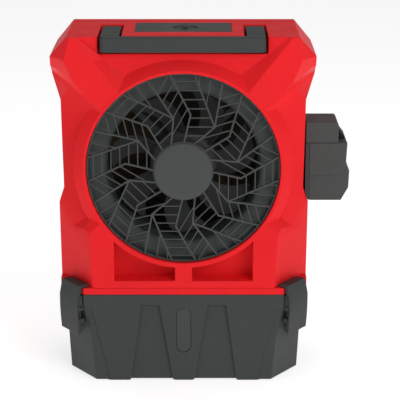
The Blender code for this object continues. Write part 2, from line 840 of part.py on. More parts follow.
def build_panel():
    panel = block(
        "control_panel", (-PANEL_HALF, PANEL_FRONT, PANEL_BOTTOM), (PANEL_HALF, PANEL_BACK, HEIGHT)
    )
    bevel(panel, 0.0008)
    skirt = block(
        "panel_skirt",
        (-PANEL_HALF + 0.0045, PANEL_FRONT + 0.0045, PANEL_BOTTOM - 0.007),
        (PANEL_HALF - 0.0045, PANEL_BACK - 0.0045, PANEL_BOTTOM + 0.001),
    )
    hollow = block(
        "panel_hollow",
        (-PANEL_HALF + 0.0065, PANEL_FRONT + 0.0065, PANEL_BOTTOM - 0.02),
        (PANEL_HALF - 0.0065, PANEL_BACK - 0.0065, PANEL_BOTTOM - 0.0005),
    )
    dish = rod("knob_dish", (KNOB.x, KNOB.y, HEIGHT - 0.0035), (KNOB.x, KNOB.y, HEIGHT + 0.01), 0.0165, 40)
    dish_floor = rod(
        "dish_floor", (KNOB.x, KNOB.y, HEIGHT - 0.0058), (KNOB.x, KNOB.y, HEIGHT - 0.002), 0.0185, 40
    )
    below, above = Vector((0, 0, -0.03)), Vector((0, 0, 0.01))
    shaft_hole = rod("shaft_hole", KNOB + below, KNOB + above, 0.0035, 20)
    lens_hole = rod("lens_hole", LENS + below, LENS + above, 0.0023, 20)
    join(panel, skirt)
    cut(panel, hollow)
    join(panel, dish_floor)
    cut(panel, dish, shaft_hole, lens_hole)
    keep(panel, DARK)

    lens = rod("led_lens", (LENS.x, LENS.y, HEIGHT - 0.010), (LENS.x, LENS.y, HEIGHT + 0.0004), 0.0020, 20)
    keep(lens, GLOW)


def build_knob():
    disc = turned(
        "speed_knob",
        [(0, 0.0026), (0.0130, 0.0026), (KNOB_RADIUS, 0.0012), (KNOB_RADIUS, 0.0), (0, 0.0)],
        (KNOB.x, KNOB.y, HEIGHT - 0.0030),
    )
    grip = block(
        "knob_grip",
        (KNOB.x - 0.0034, KNOB.y - 0.0125, HEIGHT - 0.0020),
        (KNOB.x + 0.0034, KNOB.y + 0.0125, HEIGHT + 0.0030),
    )
    stub = rod("knob_stub", (KNOB.x, KNOB.y, HEIGHT - 0.0160), (KNOB.x, KNOB.y, HEIGHT - 0.001), 0.0030, 20)
    join(disc, bevel(grip, 0.0010), stub)
    keep(disc, BLACK)
    axis_empty("knob_axis", KNOB, [disc])


def build_controls():
    deck = PANEL_BOTTOM - 0.0155
    switch = block(
        "rotary_switch",
        (KNOB.x - 0.008, KNOB.y - 0.008, deck + GAP),
        (KNOB.x + 0.008, KNOB.y + 0.008, 0.4680),
    )
    cut(switch, rod("switch_bore", (KNOB.x, KNOB.y, 0.4600), (KNOB.x, KNOB.y, 0.48), 0.0033, 20))
    keep(switch, BLACK)
    board = block("control_board", (-0.054, -0.044, deck - 0.0016), (0.054, 0.010, deck))
    keep(board, BOARD)


# Battery

def build_battery_dock():
    outline = [
        (DOCK_WALL, DOCK_BOTTOM),
        (0.2100, DOCK_BOTTOM),
        (0.2100, DOCK_TOP - 0.0030),
        (0.2075, DOCK_TOP),
        (DOCK_WALL, DOCK_TOP),
    ]
    hood = plate("battery_dock", outline, FRONT_VIEW, BATTERY_FRONT, DOCK_BACK)
    low = (0.1735, BATTERY_FRONT + 0.006, DOCK_BOTTOM - 0.01)
    cut(hood, block("dock_socket", low, (0.2040, DOCK_BACK - 0.006, DOCK_TOP - 0.0055)))
    return keep(hood, DARK)


def rail_places():
    """The middles, along Y, of the two rails that the battery slides on."""
    return BATTERY_FRONT + 0.016, BATTERY_BACK - 0.016


def build_dock_rails():
    """The plate below the hood, fitting the housing's waist, with its two rails."""
    top = DOCK_BOTTOM - GAP
    inside = PACK_INSIDE - 0.0004
    outline = [(DOCK_WALL, 0.2560), (0.1696, 0.2440), (inside, 0.2440), (inside, top), (DOCK_WALL, top)]
    rails = plate("dock_rails", outline, FRONT_VIEW, BATTERY_FRONT, BATTERY_BACK)
    for y in rail_places():
        join(rails, block("rail", (inside - 0.0015, y - 0.003, 0.2490), (0.1745, y + 0.003, top - 0.0005)))
    return keep(rails, DARK)


def contact_places():
    """Where the four blade contacts are along Y."""
    middle = (BATTERY_FRONT + DOCK_BACK) / 2
    return [middle + 0.009 * (i - 1.5) for i in range(4)]


def build_dock_contacts():
    places = contact_places()
    top = DOCK_TOP - 0.0055 - GAP
    low, high = (0.1760, places[0] - 0.0045, top - 0.0022), (0.2015, places[-1] + 0.0045, top)
    base = block("dock_contacts", low, high)
    for y in places:
        join(base, block("blade_contact", (0.1830, y - 0.0006, 0.3375), (0.1960, y + 0.0006, top - 0.002)))
    return keep(base, BRASS)


def build_battery():
    low, high = BATTERY_FRONT, BATTERY_BACK
    top = DOCK_BOTTOM - GAP
    outline = [
        (PACK_INSIDE, 0.2430),
        (0.2150, 0.2430),
        (0.2250, 0.2610),
        (0.2260, 0.2850),
        (0.2210, 0.2930),
        (0.2225, top),
        (PACK_INSIDE, top),
    ]
    pack = plate("battery_pack", outline, FRONT_VIEW, low, high)
    neck = block("battery_neck", (0.1745, low + 0.008, 0.3200), (0.2025, DOCK_BACK - 0.008, 0.3425))
    join(pack, neck)
    step = [(0.15, 0.23), (0.24, 0.23), (0.24, 0.2930), (0.2210, 0.2930), (0.2145, 0.2790), (0.15, 0.2790)]
    cut(pack, plate("lower_step", step, FRONT_VIEW, low - 0.01, low + 0.0015))
    for y in contact_places():
        cut(pack, block("contact_slot", (0.1820, y - 0.0014, 0.3350), (0.1970, y + 0.0014, 0.36)))
    for y in rail_places():
        cut(pack, block("rail_slot", (0.16, y - 0.0033, 0.23), (0.1749, y + 0.0033, top + 0.001)))
    cut(pack, block("button_well", (0.2104, -0.0254, 0.3180), (0.2204, 0.0154, top + 0.01)))
    keep(pack, DARK)
    axis_empty("battery_axis", (0.201, (low + high) / 2, 0.30), [pack])

    wedge = [(0.2108, 0.3208), (0.2200, 0.3208), (0.2200, 0.3275), (0.2108, 0.3405)]
    button = plate("battery_release", wedge, FRONT_VIEW, -0.0250, 0.0150)
    keep(bevel(button, 0.0006), BLACK)
    axis_empty("battery_release_axis", (0.2154, -0.005, 0.3208), [button])


# Tank

def stadium(half, low, high, steps=8):
    turns = [math.pi * i / steps for i in range(steps + 1)]
    top = [(half * math.cos(a), high - half + half * math.sin(a)) for a in turns]
    return top + [(-x, low + high - z) for x, z in top]


def build_tank():
    rows = [plan_ring(z, face, side, FRONT, TANK_BACK, 0.015) for z, face, side in TANK_PLAN]
    top_face, top_side = TANK_PLAN[-1][1:]
    rows.append(plan_ring(TANK_TOP, top_face, top_side, FRONT, TANK_BACK, 0.015))
    tank = loft("water_tank", rows)
    inside = ((0.007, 0.1165, 0.154), (0.075, 0.124, 0.1575), (TANK_TOP + 0.01, 0.131, 0.159))
    inner = [plan_ring(z, face, side, FRONT + 0.006, TANK_BACK - 0.004, 0.012) for z, face, side in inside]
    cut(tank, loft("tank_inside", inner))
    for side in (1, -1):
        outline = [(side * x, z) for x, z in TRAPEZOID]
        cut(tank, plate("trapezoid", outline, FRONT_VIEW, FRONT - 0.01, FRONT + 0.0030))
        low, high = span(side, TRAPEZOID[1][0], 0.104)
        join(tank, block("skid", (low, FRONT + 0.0005, 0.0), (high, 0.060, 0.004)))
    middle = TRAPEZOID[0][0]
    join(tank, block("middle_skid", (-middle, FRONT + 0.0005, 0.0), (middle, 0.060, 0.004)))
    outline = stadium(WINDOW_HALF + GAP, WINDOW_LOW - GAP, WINDOW_HIGH + GAP)
    cut(tank, plate("window_hole", outline, FRONT_VIEW, FRONT - 0.01, FRONT + 0.02))
    for place in foot_places():
        below, above = Vector((0, 0, -0.01)), Vector((0, 0, 0.0035))
        cut(tank, rod("foot_seat", place + below, place + above, 0.0073, 24))
    through = Vector((0, 0.02, 0))
    cut(tank, rod("drain_bore", DRAIN - through, DRAIN + through, 0.0063, 24))
    keep(tank, DARK)

    outline = stadium(WINDOW_HALF, WINDOW_LOW, WINDOW_HIGH)
    window = plate("level_window", outline, FRONT_VIEW, FRONT + 0.0008, FRONT + 0.0050)
    keep(window, WINDOW)


def foot_places():
    return [Vector((x, y, 0)) for x in (-0.090, 0.090) for y in (-0.080, 0.045)]


def build_feet():
    names = ("foot_front_left", "foot_back_left", "foot_front_right", "foot_back_right")
    for name, place in zip(names, foot_places()):
        foot = rod(name, place, place + Vector((0, 0, 0.0032)), 0.0070, 24)
        keep(foot, RUBBER)


def build_drain_plug():
    plug = turned(
        "drain_plug",
        [
            (0, 0.0),
            (0.0095, 0.0),
            (0.0105, -0.001),
            (0.0105, -0.006),
            (0.0060, -0.006),
            (0.0060, -0.014),
            (0, -0.014),
        ],
        (DRAIN.x, TANK_BACK + 0.0063, DRAIN.z),
        Matrix.Rotation(-math.pi / 2, 4, "X"),
        24,
    )
    bar = block(
        "plug_bar",
        (DRAIN.x - 0.008, TANK_BACK + 0.005, DRAIN.z - 0.002),
        (DRAIN.x + 0.008, TANK_BACK + 0.0110, DRAIN.z + 0.002),
    )
    join(plug, bevel(bar, 0.0008))
    keep(plug, BLACK)
    axis_empty("drain_axis", DRAIN, [plug])


def build_pump():
    pump = block("water_pump", (0.100, 0.010, 0.0075), (0.144, 0.044, 0.040))
    bevel(pump, 0.002)
    spout = rod("pump_spout", (0.1300, 0.027, 0.039), (0.1300, 0.027, 0.050), 0.0032, 16)
    join(pump, spout)
    keep(pump, BLACK)

    curve = bpy.data.curves.new("pump_hose", "CURVE")
    curve.dimensions = "3D"
    curve.bevel_depth = 0.0045
    curve.bevel_resolution = 2
    curve.use_fill_caps = True
    route = [
        (0.1300, 0.027, 0.0503),
        (0.1300, 0.027, 0.120),
        (0.1330, 0.022, 0.200),
        (0.1400, 0.022, 0.300),
        (0.1400, 0.024, 0.390),
        (0.1385, 0.036, 0.424),
        (0.1345, 0.0485, 0.4345),
        (0.1280, 0.0525, 0.4350),
        (0.1218, 0.0525, 0.4350),
    ]
    spline = curve.splines.new("POLY")
    points = smooth_route(route, 5)
    spline.points.add(len(points) - 1)
    for point, place in zip(spline.points, points):
        point.co = (*place, 1)
    holder = bpy.data.objects.new("pump_hose_route", curve)
    bpy.context.scene.collection.objects.link(holder)
    graph = bpy.context.evaluated_depsgraph_get()
    mesh = bpy.data.meshes.new_from_object(holder.evaluated_get(graph))
    bpy.data.objects.remove(holder)
    build = bmesh.new()
    build.from_mesh(mesh)
    bpy.data.meshes.remove(mesh)
    bmesh.ops.remove_doubles(build, verts=build.verts, dist=1e-5)
    keep(object_of("pump_hose", build), BLACK)


def smooth_route(route, steps):
    """Points of a Catmull-Rom curve through the route's own points."""
    places = [Vector(place) for place in route]
    places = [places[0] * 2 - places[1]] + places + [places[-1] * 2 - places[-2]]
    points = []
    for a, b, c, d in zip(places, places[1:], places[2:], places[3:]):
        for i in range(steps):
            t = i / steps
            square = (2 * a - 5 * b + 4 * c - d) * t**2
            cube = (3 * b - a - 3 * c + d) * t**3
            points.append(b + ((c - a) * t + square + cube) / 2)
    return points + [places[-2]]


# Latches

def latch_axes(side):
    """Out from the chamfer, up, and along the chamfer, on one side."""
    outward = Vector((side * math.sin(CHAMFER_ANGLE), -math.cos(CHAMFER_ANGLE), 0))
    along = Vector((side * math.cos(CHAMFER_ANGLE), math.sin(CHAMFER_ANGLE), 0))
    return outward, Vector((0, 0, 1)), along


def latch_middle(side):
    """How far along its chamfer the latch's middle is."""
    middle = Vector((side * LATCH_MIDDLE.x, LATCH_MIDDLE.y, 0))
    return middle.dot(latch_axes(side)[2])


def latch_plate(name, outline, side, low, high):
    middle = latch_middle(side)
    return plate(name, outline, latch_axes(side), middle + low, middle + high)


def latch_rod(name, pivot, side, radius, half, segments=16):
    outward, up, along = latch_axes(side)
    centre = outward * pivot[0] + up * pivot[1] + along * latch_middle(side)
    return rod(name, centre - along * half, centre + along * half, radius, segments)


def build_latch_bracket(side):
    """Two ears on a strip, fixed to the tank: the latch's link hangs between them."""
    suffix = "right" if side > 0 else "left"
    strip = [(0.1691, 0.1140), (0.1691, 0.1205), (0.1712, 0.1205), (0.1712, 0.1140)]
    bracket = latch_plate(f"latch_bracket_{suffix}", strip, side, GAP - LUG_OUT, LUG_OUT - GAP)
    for low, high in ((LUG_IN, LUG_OUT), (-LUG_OUT, -LUG_IN)):
        join(bracket, latch_plate("bracket_ear", TANK_EAR, side, low, high))
    cut(bracket, latch_rod("ear_bore", TANK_PIVOT, side, PIN_BORE, LUG_OUT + 0.004))
    return keep(bracket, DARK)


def build_latch(side):
    suffix = "right" if side > 0 else "left"
    lever = latch_plate(f"latch_lever_{suffix}", LEVER, side, -LATCH_HALF, LATCH_HALF)
    for low, high in ((LUG_IN, LUG_OUT), (-LUG_OUT, -LUG_IN)):
        join(lever, latch_plate("lever_lug", LEVER_LUG, side, low, high))
    cut(lever, latch_rod("lever_bore", LINK_PIVOT, side, PIN_BORE, LATCH_HALF - 0.001))
    keep(lever, DARK)

    half = LUG_IN - 0.0007
    high, low = TANK_PIVOT[1] - 0.0025, LINK_PIVOT[1] + 0.0025
    web = [
        (TANK_PIVOT[0] - 0.0015, high),
        (TANK_PIVOT[0] + 0.0015, high),
        (LINK_PIVOT[0] + 0.0015, low),
        (LINK_PIVOT[0] - 0.0015, low),
    ]
    link = latch_plate(f"latch_link_{suffix}", web, side, -half, half)
    join(link, latch_rod("link_barrel", TANK_PIVOT, side, 0.0033, half, 20))
    join(link, latch_rod("link_barrel", LINK_PIVOT, side, 0.0033, half, 20))
    cut(link, latch_rod("link_bore", TANK_PIVOT, side, PIN_BORE, LATCH_HALF))
    cut(link, latch_rod("link_bore", LINK_PIVOT, side, PIN_BORE, LATCH_HALF))
    keep(link, DARK)

    tank_pin = latch_rod(f"latch_tank_pin_{suffix}", TANK_PIVOT, side, PIN_RADIUS, LUG_OUT)
    link_pin = latch_rod(f"latch_link_pin_{suffix}", LINK_PIVOT, side, PIN_RADIUS, LUG_OUT)
    keep(tank_pin, STEEL)
    keep(link_pin, STEEL)

    outward, up, along = latch_axes(side)
    link_axis = outward * TANK_PIVOT[0] + up * TANK_PIVOT[1] + along * latch_middle(side)
    lever_axis = outward * LINK_PIVOT[0] + up * LINK_PIVOT[1] + along * latch_middle(side)
    empty = axis_empty(f"latch_link_axis_{suffix}", link_axis, [link, link_pin])
    lever_empty = axis_empty(f"latch_lever_axis_{suffix}", lever_axis, [lever])
    lever_empty.parent = empty
    lever_empty.matrix_parent_inverse = empty.matrix_world.inverted()


def main():
    clear_scene()
    build_base_rim()
    build_front_housing()
    build_rear_housing()
    build_rear_louvre()
    build_louvre_slats()
    build_louvre_screws()
    build_cooling_pad()
    build_distributor()
    build_shroud()
    build_motor_bracket()
    build_motor()
    shaft = build_shaft()
    nut = build_fan_nut()
    impeller = build_impeller()
    axis_empty("fan_axis", (0, HUB_FRONT, FAN_Z), [shaft, nut, impeller])
    build_grille()
    build_hub_cap()
    build_handle()
    build_panel()
    build_knob()
    build_controls()
    build_battery_dock()
    build_dock_rails()
    build_dock_contacts()
    build_battery()
    build_tank()
    build_feet()
    build_drain_plug()
    build_pump()
    for side in (1, -1):
        build_latch_bracket(side)
        build_latch(side)


main()
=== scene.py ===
"""The air mover's looks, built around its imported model. Metres, +Z up, front facing -Y."""

import json
import math

import bmesh
import bpy
from mathutils import Matrix, Vector

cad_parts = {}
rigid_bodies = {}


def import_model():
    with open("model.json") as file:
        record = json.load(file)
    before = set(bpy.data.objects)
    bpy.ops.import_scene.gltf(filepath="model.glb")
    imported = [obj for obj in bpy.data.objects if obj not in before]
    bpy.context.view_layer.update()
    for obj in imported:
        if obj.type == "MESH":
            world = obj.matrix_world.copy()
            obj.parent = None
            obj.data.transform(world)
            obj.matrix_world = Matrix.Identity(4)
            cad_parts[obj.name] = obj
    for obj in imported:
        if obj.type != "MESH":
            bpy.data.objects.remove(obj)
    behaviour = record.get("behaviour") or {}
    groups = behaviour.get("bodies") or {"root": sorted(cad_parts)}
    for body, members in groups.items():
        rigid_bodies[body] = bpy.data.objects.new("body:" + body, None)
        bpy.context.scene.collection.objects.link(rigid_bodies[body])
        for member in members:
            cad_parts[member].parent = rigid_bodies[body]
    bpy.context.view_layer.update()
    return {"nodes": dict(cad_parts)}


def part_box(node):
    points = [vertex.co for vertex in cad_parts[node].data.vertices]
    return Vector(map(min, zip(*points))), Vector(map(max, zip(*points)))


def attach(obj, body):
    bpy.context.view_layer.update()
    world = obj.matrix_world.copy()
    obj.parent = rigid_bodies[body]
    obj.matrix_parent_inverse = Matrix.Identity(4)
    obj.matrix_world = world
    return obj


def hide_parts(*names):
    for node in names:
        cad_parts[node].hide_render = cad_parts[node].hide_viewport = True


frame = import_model()

# The clearance between neighbouring pieces, and how far a cutter passes the skin that it cuts
GAP = 0.0003
PAST = 0.01

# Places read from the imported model
FAN_LOW, FAN_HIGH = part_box("front_grille")
FAN_Z = (FAN_LOW.z + FAN_HIGH.z) / 2
SHELL_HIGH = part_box("front_housing")[1]
HEIGHT = SHELL_HIGH.z
SPLIT = SHELL_HIGH.y + GAP
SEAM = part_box("base_rim")[0].z
FLANGE_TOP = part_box("base_rim")[1].z
SHELL_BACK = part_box("rear_housing")[1].y
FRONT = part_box("handle")[0].y
FEET = ("front_left", "back_left", "front_right", "back_right")
SCREWS = range(1, 5)

# Driving dimensions; the fan's are radii
WALL = 0.003
FAN_OPENING = 0.130
BEZEL_RIM = 0.134
BEZEL_FOOT = 0.147
DUCT = 0.1025
BLADES = 7
VALLEY = FRONT + 0.012
INNER_FRONT = VALLEY + WALL
CHAMFER_SLOPE = 1.4
PANEL_THICK = 0.0033

# The housing's plan going up: height, and half-widths of the front face and across the sides
FOOT_SIDE = 0.170
SHELL_PLAN = (
    (0.240, 0.131, 0.1705),
    (0.262, 0.131, 0.163),
    (0.385, 0.133, 0.165),
    (0.420, 0.145, 0.177),
    (0.447, 0.157, 0.177),
    (HEIGHT, 0.1490, 0.1527),
)

# Axes for plate(): across and up in the outline, then along its thickness
FRONT_VIEW = (Vector((1, 0, 0)), Vector((0, 0, 1)), Vector((0, 1, 0)))
PLAN = (Vector((1, 0, 0)), Vector((0, 1, 0)), Vector((0, 0, 1)))
SIDE_VIEW = (Vector((0, 1, 0)), Vector((0, 0, 1)), Vector((1, 0, 0)))
TO_FRONT = Matrix.Rotation(math.pi / 2, 4, "X")
TO_BACK = Matrix.Rotation(-math.pi / 2, 4, "X")
UP = Vector((0, 0, 1))
BACKWARD = Vector((0, 1, 0))

# Cleaning up after Booleans, and which edges a bevel can follow
MERGE = 0.000004
SLIVER = 0.00002
FLAT = math.radians(0.4)
ROOM = 2.5  # bevel widths in the shortest edge that ends at a corner
CARRIES_ON = -0.75  # cosine between an edge and the next one round an arc
CROWDED = 0.88  # cosine between two edges whose bevels would collide

SCRATCH = bpy.data.collections.new("scratch")
bpy.context.scene.collection.children.link(SCRATCH)


# Camera

def in_scene(name, data):
    obj = bpy.data.objects.new(name, data)
    bpy.context.scene.collection.objects.link(obj)
    return obj


def make_camera():
    camera = in_scene("camera", bpy.data.cameras.new("camera"))
    camera.data.lens = 148.6
    camera.data.clip_start = 0.1
    camera.data.clip_end = 100
    camera.location = (0.0224, FRONT - 2.1277, 0.8476)
    camera.rotation_euler = (math.radians(74.5), 0, 0)
    bpy.context.scene.camera = camera


# Shapes: each is a scratch object until piece() makes a finished mesh of it

def scratch(name, build):
    bmesh.ops.recalc_face_normals(build, faces=build.faces)
    mesh = bpy.data.meshes.new(name)
    build.to_mesh(mesh)
    build.free()
    obj = bpy.data.objects.new(name, mesh)
    SCRATCH.objects.link(obj)
    obj.hide_render = True
    return obj


def block(name, low, high):
    low, high = Vector(low), Vector(high)
    build = bmesh.new()
    bmesh.ops.create_cube(build, size=1.0)
    bmesh.ops.scale(build, vec=high - low, verts=build.verts)
    bmesh.ops.translate(build, vec=(low + high) / 2, verts=build.verts)
    return scratch(name, build)


def rod(name, start, end, radius, segments=40, end_radius=None):
    start, end = Vector(start), Vector(end)
    along = end - start
    turn = along.to_track_quat("Z", "Y").to_matrix().to_4x4()
    build = bmesh.new()
    bmesh.ops.create_cone(
        build,
        cap_ends=True,
        segments=segments,
        radius1=radius,
        radius2=radius if end_radius is None else end_radius,
        depth=along.length,
        matrix=Matrix.Translation((start + end) / 2) @ turn,
    )
    return scratch(name, build)


def plate(name, outline, axes, start, end):
    """A flat outline in the first two axes, as thick as from start to end along the third."""
    build = bmesh.new()
    across, up, along = axes
    corners = [build.verts.new(across * u + up * v + along * start) for u, v in outline]
    face = build.faces.new(corners)
    grown = bmesh.ops.extrude_face_region(build, geom=[face])["geom"]
    moved = [item for item in grown if isinstance(item, bmesh.types.BMVert)]
    bmesh.ops.translate(build, vec=along * (end - start), verts=moved)
    return scratch(name, build)


def turned(name, profile, centre, turn=Matrix.Identity(4), steps=96):
    """A profile of (radius, height) turned about its own Z, which turn then points elsewhere."""
    build = bmesh.new()
    corners = [build.verts.new((radius, 0, height)) for radius, height in profile]
    closed = min(radius for radius, _ in profile) > 0
    for first, second in zip(corners, corners[1:] + corners[:1] * closed):
        build.edges.new((first, second))
    obj = scratch(name, build)
    obj.matrix_world = Matrix.Translation(centre) @ turn
    screw = obj.modifiers.new("Turn", "SCREW")
    screw.steps = steps
    screw.render_steps = steps
    screw.use_merge_vertices = True
    screw.merge_threshold = 0.00001
    return obj


def loft(name, rings):
    """A closed skin through rings of the same number of points, capped at both ends."""
    build = bmesh.new()
    rows = [[build.verts.new(point) for point in ring] for ring in rings]
    for lower, upper in zip(rows, rows[1:]):
        for i in range(len(lower)):
            j = (i + 1) % len(lower)
            build.faces.new((lower[i], lower[j], upper[j], upper[i]))
    build.faces.new(rows[0][::-1])
    build.faces.new(rows[-1])
    return scratch(name, build)


def upright(name, place, low, high, radius, segments=32):
    """A rod from one height to another, through a place seen from above."""
    return rod(name, (place.x, place.y, low), (place.x, place.y, high), radius, segments)


def about_fan(name, profile, y, steps=96):
    """A profile turned about the fan's axis, its heights counted towards the front from y."""
    return turned(name, profile, (0, y, FAN_Z), TO_FRONT, steps)


def boolean(obj, other, operation):
    step = obj.modifiers.new(other.name, "BOOLEAN")
    step.operation = operation
    step.object = other


def cut(obj, *cutters):
    for cutter in cutters:
        boolean(obj, cutter, "DIFFERENCE")


def join(obj, *others):
    for other in others:
        boolean(obj, other, "UNION")


def soften(obj, width, segments=2):
    edge = obj.modifiers.new("Soften", "BEVEL")
    edge.width = width
    edge.segments = segments
    edge.limit_method = "WEIGHT"
    edge.use_clamp_overlap = False
    shading = obj.modifiers.new("Shading", "WEIGHTED_NORMAL")
    shading.mode = "FACE_AREA"
    shading.weight = 100
    shading.keep_sharp = True


def away(edge, corner):
    return (edge.other_vert(corner).co - corner.co).normalized()


def rounded_place(corner):
    return tuple(round(value, 6) for value in corner.co)


def in_order(mesh):
    """The same mesh with corners and faces ordered by place, as Booleans order them differently each run."""
    order = sorted(range(len(mesh.vertices)), key=lambda i: rounded_place(mesh.vertices[i]))
    rank = {old: new for new, old in enumerate(order)}
    faces = []
    for face in mesh.polygons:
        loop = [rank[i] for i in face.vertices]
        start = loop.index(min(loop))
        faces.append(loop[start:] + loop[:start])
    made = bpy.data.meshes.new(mesh.name)
    made.from_pydata([mesh.vertices[i].co for i in order], [], sorted(faces))
    bpy.data.meshes.remove(mesh)
    return made


def mark_edges(build, width, angle):
    """Weights for the edges that have room for a bevel, leaving out small steps and narrow tips."""
    weight = build.edges.layers.float.new("bevel_weight_edge")
    sharp = {edge for edge in build.edges if edge.calc_face_angle(0.0) > math.radians(angle)}

    def ends_at(edge, corner):
        """Whether no other sharp edge carries this one on, as it would round an arc."""
        others = [other for other in corner.link_edges if other in sharp and other is not edge]
        return all(away(edge, corner).dot(away(other, corner)) > CARRIES_ON for other in others)

    def rank(edge, corner):
        """Sharpest first, and equal ones by where they lead, so that every run chooses alike."""
        return -round(edge.calc_face_angle(0.0), 3), rounded_place(edge.other_vert(corner))

    crowded = set()
    for edge in sharp:
        if edge.calc_length() < ROOM * width and any(ends_at(edge, corner) for corner in edge.verts):
            crowded.update(edge.verts)
    chosen = {edge for edge in sharp if not crowded.intersection(edge.verts)}
    for corner in build.verts:
        spokes = [edge for edge in corner.link_edges if edge in chosen]
        kept = []
        for edge in sorted(spokes, key=lambda spoke: rank(spoke, corner)):
            ray = away(edge, corner)
            if all(ray.dot(other) < CROWDED for other in kept):
                kept.append(ray)
            else:
                chosen.discard(edge)
    for edge in chosen:
        edge[weight] = 1.0


def applied(shape, graph):
    """A shape's mesh with its modifiers and its place applied."""
    mesh = bpy.data.meshes.new_from_object(shape.evaluated_get(graph))
    mesh.transform(shape.matrix_world)
    return mesh


def piece(name, shape, node, finish, width=0.0006, segments=2, angle=30, smooth=32, body="root"):
    """A finished piece from a scratch shape: its Booleans applied, its edges softened."""
    bpy.context.view_layer.update()
    mesh = in_order(applied(shape, bpy.context.evaluated_depsgraph_get()))
    build = bmesh.new()
    build.from_mesh(mesh)
    bmesh.ops.remove_doubles(build, verts=build.verts, dist=MERGE)
    bmesh.ops.dissolve_degenerate(build, dist=SLIVER, edges=build.edges)
    bmesh.ops.dissolve_limit(build, angle_limit=FLAT, verts=build.verts, edges=build.edges)
    many_sided = [face for face in build.faces if len(face.verts) > 4]
    bmesh.ops.triangulate(build, faces=many_sided)
    if width:
        mark_edges(build, width, angle)
    build.to_mesh(mesh)
    build.free()
    obj = in_scene(name, mesh)
    mesh.materials.clear()
    mesh.materials.append(finish)
    mesh.shade_smooth()
    mesh.set_sharp_from_angle(angle=math.radians(smooth))
    if width:
        soften(obj, width, segments)
    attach(obj, body)
    if node:
        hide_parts(node)


def several(name, shapes):
    """Shapes that overlap or lie apart, made one mesh."""
    build = bmesh.new()
    graph = bpy.context.evaluated_depsgraph_get()
    for shape in shapes:
        mesh = applied(shape, graph)
        build.from_mesh(mesh)
        bpy.data.meshes.remove(mesh)
    return scratch(name, build)


def clear_scratch():
    for obj in list(SCRATCH.objects):
        bpy.data.objects.remove(obj)
    bpy.data.collections.remove(SCRATCH)


def sweep(start, end, steps):
    return [start + (end - start) * i / steps for i in range(steps + 1)]


def mirrored(half):
    """A closed outline from its right half, listed from bottom to top."""
    return list(half) + [(-across, up) for across, up in reversed(half)]


def spoke_axes(angle):
    """Axes for plate(): out along a spoke seen from the front, beside it, and to the back."""
    along = Vector((math.cos(angle), 0, math.sin(angle)))
    return along, Vector((-math.sin(angle), 0, math.cos(angle))), BACKWARD


def middle_of(node):
    low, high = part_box(node)
    return (low + high) / 2


def span(side, near, far):
    """Two distances from the middle as a low and a high x, on either side."""
    return min(side * near, side * far), max(side * near, side * far)


def both_sides(make):
    return [make(side) for side in (1, -1)]


def plan_ring(height, face, side, front, back, back_chamfer=0.0):
    """The plan at one height, with a chamfer from the front face to each side."""
    depth = (side - face) * CHAMFER_SLOPE
    half = [(face, front), (side, front + depth), (side, back - back_chamfer)]
    if back_chamfer:
        half.append((side - back_chamfer, back))
    return [(x, y, height) for x, y in half] + [(-x, y, height) for x, y in reversed(half)]


# Materials

class Nodes:
    """A short way to add shader nodes to one material."""

    def __init__(self, name):
        self.finish = bpy.data.materials.new(name)
        self.finish.use_nodes = True
        self.tree = self.finish.node_tree
        self.shader = self.tree.nodes["Principled BSDF"]
        self.place = self.add("ShaderNodeTexCoord").outputs["Object"]

    def add(self, kind, inputs=None, **settings):
        node = self.tree.nodes.new(kind)
        for key, value in settings.items():
            setattr(node, key, value)
        for key, value in (inputs or {}).items():
            self.put(value, node.inputs[key])
        return node

    def put(self, value, socket):
        if isinstance(value, bpy.types.NodeSocket):
            self.tree.links.new(value, socket)
        else:
            socket.default_value = value

    def noise(self, scale, detail=2.0, rough=0.5):
        made = {"Vector": self.place, "Scale": scale, "Detail": detail, "Roughness": rough}
        return self.add("ShaderNodeTexNoise", made).outputs["Fac"]

    def ramp(self, value, low, high, to_low=0.0, to_high=1.0):
        made = {"Value": value, "From Min": low, "From Max": high, "To Min": to_low, "To Max": to_high}
        return self.add("ShaderNodeMapRange", made).outputs["Result"]

    def mix(self, factor, first, second, blend="MIX"):
        node = self.add("ShaderNodeMix", data_type="RGBA", blend_type=blend)
        for socket, value in ((node.inputs[0], factor), (node.inputs[6], first), (node.inputs[7], second)):
            self.put(value, socket)
        return node.outputs[2]

    def math(self, operation, first, second):
        return self.add("ShaderNodeMath", {0: first, 1: second}, operation=operation).outputs[0]

    def bump(self, height, depth, strength=1.0, normal=None):
        made = {"Height": height, "Distance": depth, "Strength": strength}
        if normal is not None:
            made["Normal"] = normal
        return self.add("ShaderNodeBump", made).outputs["Normal"]

    def rounded(self, radius):
        return self.add("ShaderNodeBevel", {"Radius": radius}, samples=4).outputs["Normal"]

    def edges(self, rounded):
        """1 along rounded edges and 0 on flat faces."""
        true = self.add("ShaderNodeNewGeometry").outputs["Normal"]
        level = self.add("ShaderNodeVectorMath", {0: rounded, 1: true}, operation="DOT_PRODUCT")
        return self.ramp(level.outputs["Value"], 0.995, 0.90)

    def set(self, **values):
        for key, value in values.items():
            self.put(value, self.shader.inputs[key.replace("_", " ").title().replace("Ior", "IOR")])


def colour(rgb, times=1.0):
    return (*[channel * times for channel in rgb], 1.0)


